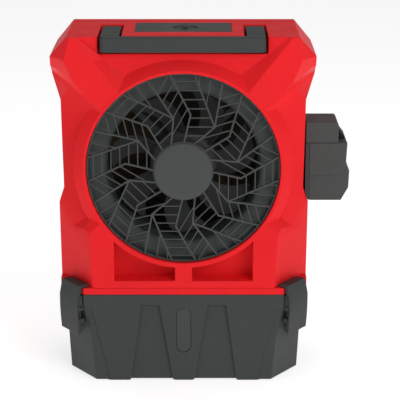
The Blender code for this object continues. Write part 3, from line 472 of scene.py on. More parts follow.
def moulded(name, rgb, rough, worn, wear=0.30, grain=620.0, depth=0.00004, gloss=0.14):
    """Injection-moulded plastic: spark-eroded grain, faint flow marks, and edges rubbed to worn."""
    n = Nodes(name)
    flow = n.noise(7.0, 3.0, 0.55)
    grainy = n.noise(grain, 3.0, 0.7)
    speck = n.noise(grain * 0.35, 2.0, 0.6)
    base = n.mix(n.ramp(flow, 0.3, 0.7), colour(rgb, 0.93), colour(rgb, 1.05))
    base = n.mix(n.ramp(speck, 0.35, 0.75, 0.0, 0.35), base, colour(rgb, 1.16))
    rounded = n.rounded(0.0012)
    rubbed = n.math("MULTIPLY", n.edges(rounded), n.ramp(n.noise(60.0, 4.0, 0.6), 0.35, 0.7, 0.15, 1.0))
    base = n.mix(n.math("MULTIPLY", rubbed, wear), base, colour(worn))
    rough_map = n.ramp(n.noise(25.0, 4.0, 0.6), 0.3, 0.75, rough - 0.05, rough + 0.07)
    rough_map = n.math("SUBTRACT", rough_map, n.math("MULTIPLY", rubbed, 0.10))
    n.set(Specular_IOR_Level=gloss)
    fine = n.bump(grainy, depth, 0.55, n.rounded(0.0005))
    coarse = n.bump(n.noise(90.0, 2.0, 0.5), depth * 2, 0.12, fine)
    n.set(Base_Color=base, Roughness=rough_map, Normal=coarse)
    return n.finish


def metal(name, rgb, rough, grain=400.0):
    """Zinc-plated or brushed metal, with fine scratches along one direction."""
    n = Nodes(name)
    stretched = n.add("ShaderNodeMapping", {"Vector": n.place, "Scale": (1.0, 0.08, 1.0)}).outputs["Vector"]
    made = {"Vector": stretched, "Scale": grain * 6, "Detail": 3.0}
    scratch_map = n.add("ShaderNodeTexNoise", made).outputs["Fac"]
    base = n.mix(n.ramp(n.noise(40.0, 3.0), 0.3, 0.7), colour(rgb, 0.85), colour(rgb, 1.1))
    n.set(Base_Color=base, Metallic=1.0, Normal=n.bump(scratch_map, 0.00001, 0.5))
    n.set(Roughness=n.ramp(scratch_map, 0.3, 0.7, rough - 0.08, rough + 0.12))
    return n.finish


def rubber_finish():
    n = Nodes("rubber")
    base = n.mix(n.noise(30.0, 4.0), (0.018, 0.018, 0.018, 1), (0.035, 0.035, 0.034, 1))
    dusty = n.ramp(n.noise(140.0, 5.0, 0.7), 0.55, 0.8, 0.0, 0.25)
    n.set(
        Base_Color=n.mix(dusty, base, (0.11, 0.11, 0.10, 1)),
        Roughness=n.ramp(n.noise(300.0), 0.3, 0.7, 0.68, 0.88),
        Normal=n.bump(n.noise(700.0, 3.0), 0.00006, 0.6),
    )
    return n.finish


def smoked_finish():
    """The level window: smoked polycarbonate with a faint frosted back."""
    n = Nodes("smoked_window")
    base = n.mix(n.noise(14.0, 3.0), (0.032, 0.035, 0.035, 1), (0.044, 0.048, 0.048, 1))
    rough = n.ramp(n.noise(35.0, 4.0), 0.3, 0.7, 0.16, 0.26)
    n.set(Base_Color=base, Roughness=rough, Normal=n.bump(n.noise(160.0, 2.0), 0.00002, 0.2))
    n.set(Coat_Weight=0.15, Coat_Roughness=0.08, Specular_IOR_Level=0.3)
    return n.finish


def lens_finish():
    n = Nodes("red_lens")
    base = n.mix(n.noise(600.0, 2.0), (0.10, 0.012, 0.010, 1), (0.17, 0.02, 0.016, 1))
    n.set(Base_Color=base, Roughness=n.ramp(n.noise(900.0), 0.3, 0.7, 0.10, 0.18), Coat_Weight=0.8)
    return n.finish


def pad_finish():
    """Corrugated cellulose: brown paper, darker where it's wet."""
    n = Nodes("wet_pad")
    fibre = n.add("ShaderNodeMapping", {"Vector": n.place, "Scale": (1.0, 1.0, 6.0)}).outputs["Vector"]
    streak = n.add("ShaderNodeTexNoise", {"Vector": fibre, "Scale": 120.0, "Detail": 5.0}).outputs["Fac"]
    base = n.mix(n.ramp(streak, 0.3, 0.7), (0.050, 0.034, 0.018, 1), (0.115, 0.082, 0.046, 1))
    damp = n.ramp(n.noise(16.0, 4.0), 0.4, 0.65)
    base = n.mix(damp, base, (0.030, 0.021, 0.012, 1))
    n.set(Base_Color=base, Roughness=n.ramp(damp, 0.0, 1.0, 0.92, 0.6), Normal=n.bump(streak, 0.0002, 0.6))
    return n.finish


def board_finish():
    """A lacquered board, with copper tracks as bands across it."""
    n = Nodes("circuit_board")
    lines = n.add("ShaderNodeTexBrick", {"Vector": n.place, "Scale": 90.0}).outputs["Fac"]
    base = n.mix(lines, (0.015, 0.085, 0.035, 1), (0.05, 0.22, 0.10, 1))
    n.set(Base_Color=base, Roughness=n.ramp(n.noise(90.0), 0.3, 0.7, 0.25, 0.4), Coat_Weight=0.3)
    return n.finish


def floor_finish():
    n = Nodes("studio_floor")
    base = n.mix(n.noise(2.0, 3.0), (0.86, 0.86, 0.86, 1), (0.90, 0.90, 0.90, 1))
    n.set(Base_Color=base, Roughness=n.ramp(n.noise(30.0), 0.3, 0.7, 0.75, 0.9))
    n.set(Emission_Color=(1.0, 1.0, 1.0, 1.0), Emission_Strength=0.62)
    return n.finish


RED = moulded("red_plastic", (0.86, 0.020, 0.025), 0.42, (0.88, 0.05, 0.05), 0.14, 800.0, 0.00003, gloss=0.05)
DARK = moulded("dark_plastic", (0.052, 0.058, 0.057), 0.50, (0.12, 0.13, 0.13), depth=0.00006)
TRIM = moulded("trim_plastic", (0.070, 0.075, 0.073), 0.50, (0.15, 0.16, 0.16), depth=0.00006)
LATCH = moulded("latch_plastic", (0.042, 0.046, 0.046), 0.44, (0.11, 0.12, 0.12), wear=0.35)
BLACK = moulded("black_plastic", (0.018, 0.019, 0.020), 0.45, (0.07, 0.07, 0.07), grain=700.0)
# Lighter than this plastic's own tone: painted light that fills the shade in the duct and bracket behind the
# grille.
SHROUD_PAINTED_LIGHT = moulded("shroud_plastic_painted_light", (0.080, 0.088, 0.088), 0.48, (0.09, 0.09, 0.09), wear=0.2, grain=700.0)
BLADE = moulded("blade_plastic", (0.060, 0.062, 0.062), 0.30, (0.12, 0.12, 0.12), 0.2, 700.0, 0.00002)
STEEL = metal("steel", (0.56, 0.56, 0.58), 0.32)
BRASS = metal("brass", (0.72, 0.50, 0.20), 0.28)
RUBBER = rubber_finish()
SMOKED = smoked_finish()
LENS = lens_finish()
PAD = pad_finish()
BOARD = board_finish()


# Front shell

def shell_blank():
    rows = ((FLANGE_TOP + GAP, 0.123, FOOT_SIDE), (0.200, 0.127, 0.1705), *SHELL_PLAN)
    rings = [plan_ring(z, face, side, FRONT, SPLIT - GAP) for z, face, side in rows]
    return loft("front_shell", rings)


def upper_valley():
    """The facet between the two upper arms of the front, sunk behind the handle bar."""
    def ring(low, high, y):
        half = (low, high, (high[0], HEIGHT + 0.04))
        return [(x, y, z) for x, z in half] + [(-x, y, z) for x, z in reversed(half)]

    front = ring((0.0855, 0.401), (0.1614, HEIGHT + 0.02), FRONT - 0.001)
    return loft("upper_valley", [front, ring((0.076, 0.425), (0.103, 0.445), VALLEY)])


def side_valley(side):
    """The facets between an upper and a lower arm, falling back to the side."""
    front = ((0.108, 0.378), (0.157, 0.433), (0.190, 0.452), (0.190, 0.160), (0.149, 0.189), (0.110, 0.224))
    floor = (
        (0.118, 0.366, VALLEY),
        (0.150, 0.408, VALLEY + 0.016),
        (0.190, 0.428, -0.026),
        (0.190, 0.190, -0.026),
        (0.150, 0.212, VALLEY + 0.016),
        (0.120, 0.238, VALLEY),
    )
    rings = [[(side * x, FRONT - 0.001, z) for x, z in front], [(side * x, y, z) for x, z, y in floor]]
    return loft("side_valley", rings)


def shell_cavity():
    rows = (
        (SEAM - 0.005, 0.104, 0.1665),
        (0.240, 0.104, 0.1665),
        (0.262, 0.104, 0.159),
        (0.385, 0.104, 0.161),
        (0.420, 0.108, 0.172),
        (0.444, 0.112, 0.172),
        (HEIGHT - WALL, 0.118, 0.150),
    )
    rings = [plan_ring(z, face, side, INNER_FRONT, SPLIT + 0.004) for z, face, side in rows]
    return loft("shell_cavity", rings)


def build_base_rim():
    rings = [plan_ring(z, 0.136, FOOT_SIDE, FRONT, SPLIT - GAP) for z in (SEAM, FLANGE_TOP)]
    rim = loft("flange", rings)
    cut(rim, shell_cavity())
    piece("flange", rim, "base_rim", RED, 0.0009, 3)


def pocket_outline(grow):
    """One pocket beside the middle rib, its top following the fan."""
    inner, outer, bottom = 0.0115 - grow, 0.0938 + grow, 0.1435 - grow
    radius = 0.137 - grow
    angles = sweep(math.asin(outer / radius), math.asin(inner / radius), 20)
    arc = [(radius * math.sin(a), FAN_Z - radius * math.cos(a)) for a in angles]
    return [(inner, bottom), (outer, bottom)] + arc


def pocket(side, grow):
    outline = [(side * x, z) for x, z in pocket_outline(grow)]
    start = FRONT + 0.004 if grow else FRONT - 0.01
    return plate("pocket", outline, FRONT_VIEW, start, FRONT + 0.029 + grow)


def build_front_shell():
    arm_low, arm_high = 0.081, 0.112
    channel_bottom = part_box("handle")[0].z - 0.003
    channel_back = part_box("handle")[1].y + 0.0032
    bar_back = FRONT + 0.0165
    wall_front, wall_top = VALLEY + 0.0005, HEIGHT - 0.002
    shell = shell_blank()
    cut(shell, upper_valley(), *both_sides(side_valley), shell_cavity())
    opening = FAN_OPENING + 0.0005
    cut(shell, rod("opening", (0, FRONT - 0.01, FAN_Z), (0, INNER_FRONT + 0.02, FAN_Z), opening, 96))
    join(shell, *both_sides(lambda side: pocket(side, WALL)))
    cut(shell, *both_sides(lambda side: pocket(side, 0)))

    def walls(side):
        low, high = span(side, arm_low - WALL, arm_high + WALL)
        near = (low, wall_front, channel_bottom - WALL)
        return block("walls", near, (high, channel_back + WALL, wall_top))

    def channel(side):
        low, high = span(side, arm_low, arm_high)
        return block("channel", (low, -0.0845, channel_bottom), (high, channel_back, HEIGHT + PAST))

    join(shell, *both_sides(walls))
    bar_wall = block(
        "bar_wall",
        (-arm_high - WALL, wall_front, channel_bottom - WALL),
        (arm_high + WALL, bar_back + WALL, wall_top),
    )
    panel_low, panel_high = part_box("control_panel")

    def round_panel(name, margin, bottom, top):
        low = (panel_low.x - margin, panel_low.y - margin, bottom)
        return block(name, low, (panel_high.x + margin, panel_high.y + margin, top))

    ledge = 0.004
    join(shell, bar_wall, round_panel("panel_rim", ledge, HEIGHT - 0.0083, HEIGHT - 0.0025))
    above = HEIGHT + PAST
    bar_channel = block("bar_channel", (-arm_high, FRONT - PAST, channel_bottom), (arm_high, bar_back, above))
    seat = round_panel("panel_seat", GAP, HEIGHT - PANEL_THICK - GAP, above)
    hole = round_panel("panel_hole", -ledge, HEIGHT - 0.03, above)
    cut(shell, bar_channel, *both_sides(channel), seat, hole)
    piece("front_shell", shell, "front_housing", RED, 0.0009, 3, 24)


def build_bezel():
    """The ring round the fan's opening, coned down to the valleys between the arms."""
    proud, round_over = 0.0005, 0.0012
    steps = 6
    turns = sweep(0, math.pi / 2, steps)
    inner = FAN_OPENING + round_over
    profile = [(inner - round_over * math.cos(a), proud - round_over * (1 - math.sin(a))) for a in turns]
    outer = BEZEL_RIM - 0.0006
    cone = math.atan2(BEZEL_FOOT - BEZEL_RIM, VALLEY - FRONT)
    turns = sweep(0, math.pi / 2 - cone, steps)
    profile += [(outer + round_over * math.sin(a), proud - round_over * (1 - math.cos(a))) for a in turns]
    back = FRONT - INNER_FRONT - 0.001
    profile += [(BEZEL_FOOT, FRONT - VALLEY - 0.0003), (BEZEL_FOOT, back), (FAN_OPENING, back)]
    bezel = about_fan("bezel", profile, FRONT, 160)
    cut(bezel, *both_sides(lambda side: pocket(side, 0)))
    piece("bezel", bezel, None, RED, 0, smooth=40)


# Rear shell, pad and louvre

def towards_top(z):
    """0 up to the shoulders, and from there to 1 at the top."""
    shoulders = 0.38
    return max(0.0, (z - shoulders) / (HEIGHT - shoulders))


def silhouette(inset, floor):
    half = [(FOOT_SIDE, SEAM)] + [(side, z) for z, _, side in SHELL_PLAN]
    drawn = [(x - inset, z - inset * towards_top(z)) for x, z in half]
    drawn[0] = (drawn[0][0], floor)
    return mirrored(drawn)


def build_rear_shell():
    def ring(y, inset, lowered, floor=SEAM):
        return [(x, y, z - lowered * towards_top(z)) for x, z in silhouette(inset, floor)]

    shell = loft("rear_shell", [ring(SPLIT, 0, 0), ring(0.053, 0, 0), ring(SHELL_BACK, 0.018, 0.006)])
    under = SEAM - 0.001
    inner_back = SHELL_BACK - 0.004
    rings = [ring(SPLIT - 0.002, 0.0035, 0, under), ring(0.052, 0.0035, 0, under)]
    cavity = loft("rear_cavity", [*rings, ring(inner_back, 0.021, 0.006, under)])
    half = 0.145
    cavity_floor = block("cavity_floor", (-half, SPLIT - 0.004, SEAM - PAST), (half, inner_back, SEAM + 0.02))
    low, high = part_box("rear_louvre")
    lap = 0.008
    behind = (high.x - lap, SHELL_BACK + PAST, high.z - lap)
    cut(shell, cavity, cavity_floor, block("rear_opening", (low.x + lap, 0.05, low.z + lap), behind))
    piece("rear_shell", shell, "rear_housing", RED, 0.0014, 3, 20)


def build_louvre():
    low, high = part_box("rear_louvre")
    surround = block("louvre_frame", low, high)
    for name, inset, start in (("inside", 0.010, low.y - PAST), ("step", 0.005, high.y - 0.0015)):
        behind = (high.x - inset, high.y + PAST, high.z - inset)
        cut(surround, block(name, (low.x + inset, start, low.z + inset), behind))
    for number in SCREWS:
        middle = middle_of(f"louvre_screw_{number}")
        cut(surround, rod("seat", (middle.x, 0.0963, middle.z), (middle.x, 0.12, middle.z), 0.0045, 24))
    piece("louvre_frame", surround, "rear_louvre", DARK, 0.0008, 3)
    low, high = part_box("louvre_slats")
    slats = 13
    pitch = (high.z - low.z) / slats
    shapes = []
    front_y, back_y = low.y + 0.001, high.y - 0.0005
    for i in range(slats):
        middle = low.z + pitch * (i + 0.5)
        upper = [(front_y, middle + 0.0062), (back_y - 0.003, middle - 0.0040), (back_y, middle - 0.0042)]
        lower = [(back_y, middle - 0.0062), (back_y - 0.003, middle - 0.0062), (front_y, middle + 0.0040)]
        shapes.append(plate("slat", upper + lower, SIDE_VIEW, low.x, high.x))
    half = 0.003
    for across in (-0.042, 0.042):
        shapes.append(block("mullion", (across - half, low.y, low.z), (across + half, low.y + 0.004, high.z)))
    piece("slat_insert", several("slats", shapes), "louvre_slats", DARK, 0.0005)
    for number in SCREWS:
        build_screw(number)


def build_screw(number):
    """A pan-head screw with a cross recess, seated in the louvre's corner."""
    low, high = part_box(f"louvre_screw_{number}")
    middle = (low + high) / 2
    radius = (high.x - low.x) / 2
    profile = [(0, 0.0)] + [(radius * math.sin(a), -0.0016 * (1 - math.cos(a))) for a in (0.5, 0.8, 1.1, 1.4)]
    profile += [(radius, -0.0022), (radius, -0.0026), (0, -0.0026)]
    head = turned("screw", profile, (middle.x, high.y, middle.z), TO_BACK, 32)
    reach = [(-0.0019, -0.0004), (0.0019, -0.0004), (0.0019, 0.0004), (-0.0019, 0.0004)]
    for turn in (20 * number, 20 * number + 90):
        slot = plate("cross", reach, spoke_axes(math.radians(turn)), high.y - 0.0013, high.y + 0.001)
        slot.location = (middle.x, 0, middle.z)
        cut(head, slot)
    piece(f"screw_{number}", head, f"louvre_screw_{number}", STEEL, 0.0001, 1)


def build_pad():
    """The cooling pad: fluted paper sheets side by side, their flutes slanting alternately."""
    low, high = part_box("cooling_pad")
    core = block("pad_core", low, (high.x, high.y - 0.006, high.z))
    shapes = [core]
    sheets = 44
    pitch = (high.x - low.x) / sheets
    rows = 46
    half = 0.00035
    for i in range(sheets):
        edge = []
        for j in range(rows + 1):
            swing = pitch * 0.36 * (1 if j % 2 else -1)
            edge.append((low.x + pitch * (i + 0.5) + swing, low.z + (high.z - low.z) * j / rows))
        outline = [(x - half, z) for x, z in edge] + [(x + half, z) for x, z in reversed(edge)]
        shapes.append(plate("sheet", outline, FRONT_VIEW, high.y - 0.0065, high.y))
    piece("pad", several("pad", shapes), "cooling_pad", PAD, 0)


# Fan, duct and motor

def build_duct():
    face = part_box("fan_shroud")[0].y
    flange, length = 0.1295, 0.0555
    profile = [(DUCT + 0.0060, 0.0), (flange, 0.0), (flange, -0.0030), (DUCT + 0.0060, -0.0030)]
    profile += [(DUCT + 0.0028, -0.0060), (DUCT + 0.0025, -length), (DUCT, -length), (DUCT, -0.0060)]
    profile += [(DUCT + 0.0010, -0.0030), (DUCT + 0.0030, -0.0010)]
    piece("duct", about_fan("duct", profile, face, 128), "fan_shroud", SHROUD_PAINTED_LIGHT, 0)


def build_bracket():
    """Four swept arms that hold the motor in the duct's back."""
    low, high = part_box("motor_bracket")
    depth = low.y - high.y

    def hoop(name, inner, outer):
        return about_fan(name, [(inner, 0), (outer, 0), (outer, depth), (inner, depth)], low.y)

    bracket = hoop("ring", 0.0368, 0.0420)
    join(bracket, hoop("rim", DUCT - 0.001, DUCT + 0.004))
    outline = [(0.0410, -0.0055), (DUCT, -0.004), (DUCT, 0.004), (0.0410, 0.0055)]
    for i in range(4):
        arm = plate("arm", outline, spoke_axes(math.radians(45 + 90 * i)), low.y + 0.0005, high.y - 0.0005)
        arm.location = (0, 0, FAN_Z)
        join(bracket, arm)
    piece("bracket", bracket, "motor_bracket", SHROUD_PAINTED_LIGHT, 0.0006)


def build_motor():
    low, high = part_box("motor_body")
    length = high.y - low.y
    radius = (high.x - low.x) / 2
    profile = [(0.0042, 0.0), (0.0115, 0.0), (0.012, -0.0005), (0.012, -0.003), (radius - 0.004, -0.003)]
    profile += [(radius - 0.001, -0.004), (radius, -0.0065)]
    for groove in range(3):
        start = -0.014 - 0.004 * groove
        profile += [(radius, start), (radius - 0.0008, start - 0.0004), (radius - 0.0008, start - 0.0016)]
        profile += [(radius, start - 0.0020)]
    profile += [(radius, 0.003 - length), (radius - 0.003, -length), (0.0042, -length)]
    piece("motor", about_fan("motor", profile, low.y, 72), "motor_body", STEEL, 0)


def blade_section(radius, turn):
    """A cambered section of a blade on a cylinder of this radius."""
    share = (radius - 0.040) / 0.058
    pitch = math.radians(52 - 22 * share)
    chord = (0.034 + 0.022 * share) * (1 if radius < 0.094 else 0.86)
    leading = turn + 0.35 * share * share
    upper, lower = [], []
    for along in sweep(-0.5, 0.5, 8):
        camber = 0.0040 * (1 - 4 * along * along)
        thick = 0.0011 * math.sqrt(max(0.02, 1 - 4 * along * along)) + 0.0002
        for rail, off in ((upper, camber + thick), (lower, camber - thick)):
            tangent = along * chord * math.cos(pitch) - off * math.sin(pitch)
            axial = along * chord * math.sin(pitch) + off * math.cos(pitch)
            angle = leading + tangent / radius
            rail.append((radius * math.cos(angle), -0.0555 + axial, FAN_Z + radius * math.sin(angle)))
    return upper + lower[::-1]


def build_fan():
    low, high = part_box("fan_impeller")
    depth = high.y - low.y
    profile = [(0.0043, -0.0010), (0.012, -0.0010), (0.013, 0.0), (0.036, 0.0), (0.041, -0.0012)]
    profile += [(0.044, -0.004), (0.045, -0.008), (0.045, -depth), (0.042, -depth), (0.042, -0.007)]
    profile += [(0.010, -0.005), (0.009, 0.003 - depth), (0.0043, 0.003 - depth)]
    hub = about_fan("fan_hub", profile, low.y, 84)
    radii = sweep(0.0438, 0.0975, 7)
    for i in range(BLADES):
        turn = 2 * math.pi * i / BLADES
        join(hub, loft("blade", [blade_section(radius, turn) for radius in radii]))
    piece("fan", hub, "fan_impeller", BLADE, 0, smooth=50, body="fan")

    low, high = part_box("fan_nut")
    nut = rod("nut", (0, low.y, FAN_Z), (0, high.y, FAN_Z), 0.0075, 6)
    cut(nut, rod("bore", (0, low.y - PAST, FAN_Z), (0, high.y + PAST, FAN_Z), 0.0043, 32))
    piece("nut", nut, "fan_nut", STEEL, 0.0004, body="fan")
    low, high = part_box("motor_shaft")
    profile = [(0, 0.0), (0.0032, 0.0), (0.0040, -0.0008), (0.0040, low.y - high.y), (0, low.y - high.y)]
    piece("shaft", about_fan("shaft", profile, low.y, 32), "motor_shaft", STEEL, 0, body="fan")


# Front grille: straight ribs in eight sectors, on a shallow dome

RIM_FACE = FRONT + 0.0040
DOME_FACE = FRONT - 0.0070
GRILLE_RIM = 0.1270
RIB_END = 0.1284
ELBOW = 0.0727
INNER_ELBOW = 0.0772
HUB = 0.0400
HUB_EDGE = 0.0385
LEVEL = 0.0750
MAIN_WIDTH, MAIN_DEPTH = 0.0024, 0.006
RUNG_WIDTH, RUNG_DEPTH, RUNG_SINK = 0.0016, 0.0045, 0.0005
SECTORS = 8


def dome(across, up):
    """The ribs' front edge at a place seen from the front: level inside, falling to the rim."""
    radius = math.hypot(across, up)
    fall = (radius - LEVEL) / (GRILLE_RIM - LEVEL)
    y = DOME_FACE + (RIM_FACE - DOME_FACE) * max(0.0, min(1.0, fall))
    return Vector((across, y, FAN_Z + up))


def polar(radius, degrees):
    angle = math.radians(degrees)
    return Vector((radius * math.cos(angle), radius * math.sin(angle)))


def rib(start, end, width=MAIN_WIDTH, depth=MAIN_DEPTH, sink=0.0):
    """A rib between two places seen from the front: a slim bar with a rounded front edge."""
    first, last = dome(*start), dome(*end)
    along = (last - first).normalized()
    beside = Vector((-along.z, 0, along.x)).normalized()
    first, last = first - along * width / 3, last + along * width / 3
    section = ((-0.5, 0.30), (-0.42, 0.10), (-0.22, 0.0), (0.22, 0.0), (0.42, 0.10), (0.5, 0.30))
    rings = []
    for place in (first, last):
        ring = [place + beside * width * u + Vector((0, sink + v * width, 0)) for u, v in section]
        back = place + BACKWARD * depth
        rings.append(ring + [back + beside * width * 0.36, back - beside * width * 0.36])
    return loft("rib", rings)


def rung(start, end):
    return rib(start, end, RUNG_WIDTH, RUNG_DEPTH, RUNG_SINK)


def crossing(normal, offset, start, end):
    """Where the line at this distance along a unit normal crosses a segment, or None."""
    a, b = normal.dot(start) - offset, normal.dot(end) - offset
    if a * b > 0 or a == b:
        return None
    return start + (end - start) * (a / (a - b))


def ladder(angle, offsets, left, right):
    """Parallel rungs, each from one broken line to another."""
    normal = polar(1.0, angle)
    rungs = []
    for offset in offsets:
        ends = []
        for line in (left, right):
            hits = [crossing(normal, offset, a, b) for a, b in zip(line, line[1:])]
            hits = [hit for hit in hits if hit is not None]
            if hits:
                ends.append(hits[0])
        if len(ends) == 2 and (ends[0] - ends[1]).length > 0.004:
            rungs.append(rung(*ends))
    return rungs


def build_grille():
    ribs = []
    for sector in range(SECTORS):
        turn = 360 / SECTORS * sector
        elbow = polar(ELBOW, 10 + turn)
        low_elbow = polar(INNER_ELBOW, -7.5 + turn)
        next_elbow = polar(INNER_ELBOW, 37.5 + turn)
        root = polar(HUB_EDGE, 24 + turn)
        upper = [polar(RIB_END, 38 + turn), elbow, root]
        lower = [polar(RIB_END, 21 + turn), elbow, root]
        above = [polar(RIB_END, 52.5 + turn), next_elbow, polar(HUB_EDGE, 43.5 + turn)]
        below = [polar(RIB_END, 15 + turn), polar(RIB_END, 7.5 + turn)]
        below += [low_elbow, polar(HUB_EDGE, -1.5 + turn)]
        ribs += [rib(elbow, upper[0]), rib(elbow, lower[0]), rib(root, elbow)]
        ribs += [rib(low_elbow, below[1]), rib(below[3], low_elbow)]
        ribs += ladder(45 + turn, [0.1196 - 0.0119 * k for k in range(7)], above, upper)
        ribs += ladder(60 + turn, [0.0804 - 0.0109 * k for k in range(5)], below, lower)
        for share, end in ((0.42, 28.5), (0.80, 35.0)):
            ribs.append(rung(elbow.lerp(upper[0], share), polar(RIB_END, end + turn)))
    profile = [(GRILLE_RIM, -0.0022), (GRILLE_RIM + 0.0005, -0.0015), (FAN_OPENING - 0.0008, -0.0015)]
    profile += [(FAN_OPENING - GAP, -0.0022), (FAN_OPENING - GAP, -0.0090), (GRILLE_RIM, -0.0090)]
    ring = about_fan("grille_ring", profile, RIM_FACE, 128)
    profile = [(0, 0.0), (HUB - 0.0006, 0.0), (HUB, -0.0006), (HUB, -0.006), (HUB - 0.003, -0.006)]
    profile += [(HUB - 0.003, -0.002), (0, -0.002)]
    hub = about_fan("grille_hub", profile, DOME_FACE + 0.0002)
    piece("grille", several("grille", ribs + [ring, hub]), "front_grille", TRIM, 0, smooth=40)

    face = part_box("grille_hub_cap")[0].y
    profile = [(0, 0.0), (0.030, -0.0001), (0.0365, -0.0004), (0.0380, -0.0010), (HUB_EDGE, -0.0018)]
    profile += [(HUB_EDGE, -0.0027), (0, -0.0027)]
    piece("hub_cap", about_fan("hub_cap", profile, face), "grille_hub_cap", TRIM, 0)


# Handle

def build_handle():
    low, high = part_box("handle")
    radius = (high.z - low.z) / 2
    pivot = Vector((0, high.y - radius, low.z + radius))
    half, arm = high.x, 0.025
    bar_back = FRONT + 0.0135
    corner, fillet = 0.006, 0.005
    quarter = sweep(0, math.pi / 2, 6)
    outer = [(half - corner + corner * math.sin(a), FRONT + corner - corner * math.cos(a)) for a in quarter]
    bend = half - arm - fillet
    inner = [(bend + fillet * math.sin(a), bar_back + fillet - fillet * math.cos(a)) for a in quarter[::-1]]
    right = outer + [(half, high.y + PAST), (half - arm, high.y + PAST)] + inner
    handle = plate("handle_bow", right + [(-x, y) for x, y in reversed(right)], PLAN, low.z, high.z)
    reach = radius + 0.0001
    turns = sweep(-math.pi / 2, math.pi / 2, 24)
    nose = [(pivot.y + radius * math.cos(a), pivot.z + reach * math.sin(a)) for a in turns]
    nose += [(FRONT - PAST, high.z + 0.0001), (FRONT - PAST, low.z - 0.0001)]
    boolean(handle, plate("nose", nose, SIDE_VIEW, -half - PAST, half + PAST), "INTERSECT")
    cut(handle, rod("bore", (-half - PAST, pivot.y, pivot.z), (half + PAST, pivot.y, pivot.z), 0.0033, 24))
    piece("carry_handle", handle, "handle", DARK, 0.0016, 3, body="handle")
    for name in ("right", "left"):
        low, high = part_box(f"handle_pin_{name}")
        middle = (low + high) / 2
        pin = rod("pin", (low.x, middle.y, middle.z), (high.x, middle.y, middle.z), 0.003, 32)
        piece(f"pivot_pin_{name}", pin, f"handle_pin_{name}", BLACK, 0.0003)


# Control panel

THROUGH = (0.4, 0.5)


def around(middle, radius, angle):
    """A place on a circle seen from above."""
    return Vector((middle.x + radius * math.cos(angle), middle.y + radius * math.sin(angle), 0))


def build_panel():
    low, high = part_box("control_panel")
    middle = middle_of("speed_knob")
    lens = middle_of("led_lens")
    dish = 0.0185
    panel = block("panel", (low.x, low.y, HEIGHT - PANEL_THICK), (high.x, high.y, HEIGHT))
    join(panel, upright("dish_floor", middle, HEIGHT - 0.0058, HEIGHT - 0.002, dish, 64))
    profile = [(0, 0.012), (dish, 0.012), (0.0165, 0.0028), (0.0160, 0.0), (0, 0.0)]
    cut(panel, turned("dish", profile, (middle.x, middle.y, HEIGHT - 0.0035), steps=72))
    cut(panel, upright("shaft_hole", middle, *THROUGH, 0.0035), upright("lens_hole", lens, *THROUGH, 0.0023))
    for i in range(5):
        place = around(middle, 0.0215, math.radians(210 - 60 * i))
        cut(panel, upright("mark", place, HEIGHT - 0.0011, HEIGHT + PAST, 0.0009 + 0.0002 * i, 20))
    piece("panel", panel, "control_panel", TRIM, 0)
    profile = [(0, 0.0008), (0.0010, 0.0006), (0.0017, 0.0001), (0.0020, -0.0005), (0.0020, -0.008)]
    profile.append((0, -0.008))
    led = turned("lens", profile, (lens.x, lens.y, HEIGHT - 0.0004), steps=32)
    piece("lens", led, "led_lens", LENS, 0)

    profile = [(0, 0.0026), (0.0128, 0.0026), (0.0138, 0.0022), (0.0144, 0.0013), (0.0145, 0.0), (0, 0.0)]
    knob = turned("knob", profile, (middle.x, middle.y, HEIGHT - 0.0030), steps=72)
    outline = mirrored(((0.0024, -0.0124), (0.0034, -0.0108), (0.0030, 0.0105), (0.0020, 0.0122)))
    outline = [(middle.x + x, middle.y + y) for x, y in outline]
    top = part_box("speed_knob")[1].z
    join(knob, plate("grip", outline, PLAN, HEIGHT - 0.0020, top))
    pointer = (middle.x - 0.0005, middle.y - 0.02, top - 0.0006)
    cut(knob, block("pointer", pointer, (middle.x + 0.0005, middle.y - 0.004, THROUGH[1])))
    flutes = 24
    for i in range(flutes):
        place = around(middle, 0.0150, 2 * math.pi * (i + 0.5) / flutes)
        cut(knob, upright("flute", place, *THROUGH, 0.0009, 10))
    join(knob, upright("stub", middle, HEIGHT - 0.016, HEIGHT - 0.002, 0.003, 24))
    piece("knob", knob, "speed_knob", DARK, 0.0004, body="knob")


# Battery and dock

RAIL_INSET = 0.016
SOCKET_IN, SOCKET_OUT = 0.1735, 0.2040
SOCKET_WALL = 0.006
WAIST = 0.2930


def build_dock():
    low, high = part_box("battery_dock")
    outline = [(low.x, low.z), (high.x, low.z), (high.x, high.z - 0.0030), (high.x - 0.0025, high.z)]
    hood = plate("hood", [*outline, (low.x, high.z)], FRONT_VIEW, low.y, high.y)
    inside = (SOCKET_IN, low.y + SOCKET_WALL, low.z - PAST)
    cut(hood, block("socket", inside, (SOCKET_OUT, high.y - SOCKET_WALL, high.z - 0.0055)))
    piece("hood", hood, "battery_dock", TRIM, 0.0011, 3)

    low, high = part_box("dock_rails")
    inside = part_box("battery_pack")[0].x - 0.0004
    outline = [(low.x, 0.2560), (0.1696, low.z), (inside, low.z), (inside, high.z), (low.x, high.z)]
    rails = plate("rails", outline, FRONT_VIEW, low.y, high.y)
    root, half = inside - 0.0015, 0.003
    for y in (low.y + RAIL_INSET, high.y - RAIL_INSET):
        outline = [(root, y - half), (high.x, y - half), (high.x, y + half), (root, y + half)]
        join(rails, plate("rail", outline, PLAN, 0.2490, high.z - 0.0005))
    piece("rails", rails, "dock_rails", DARK, 0.0004)


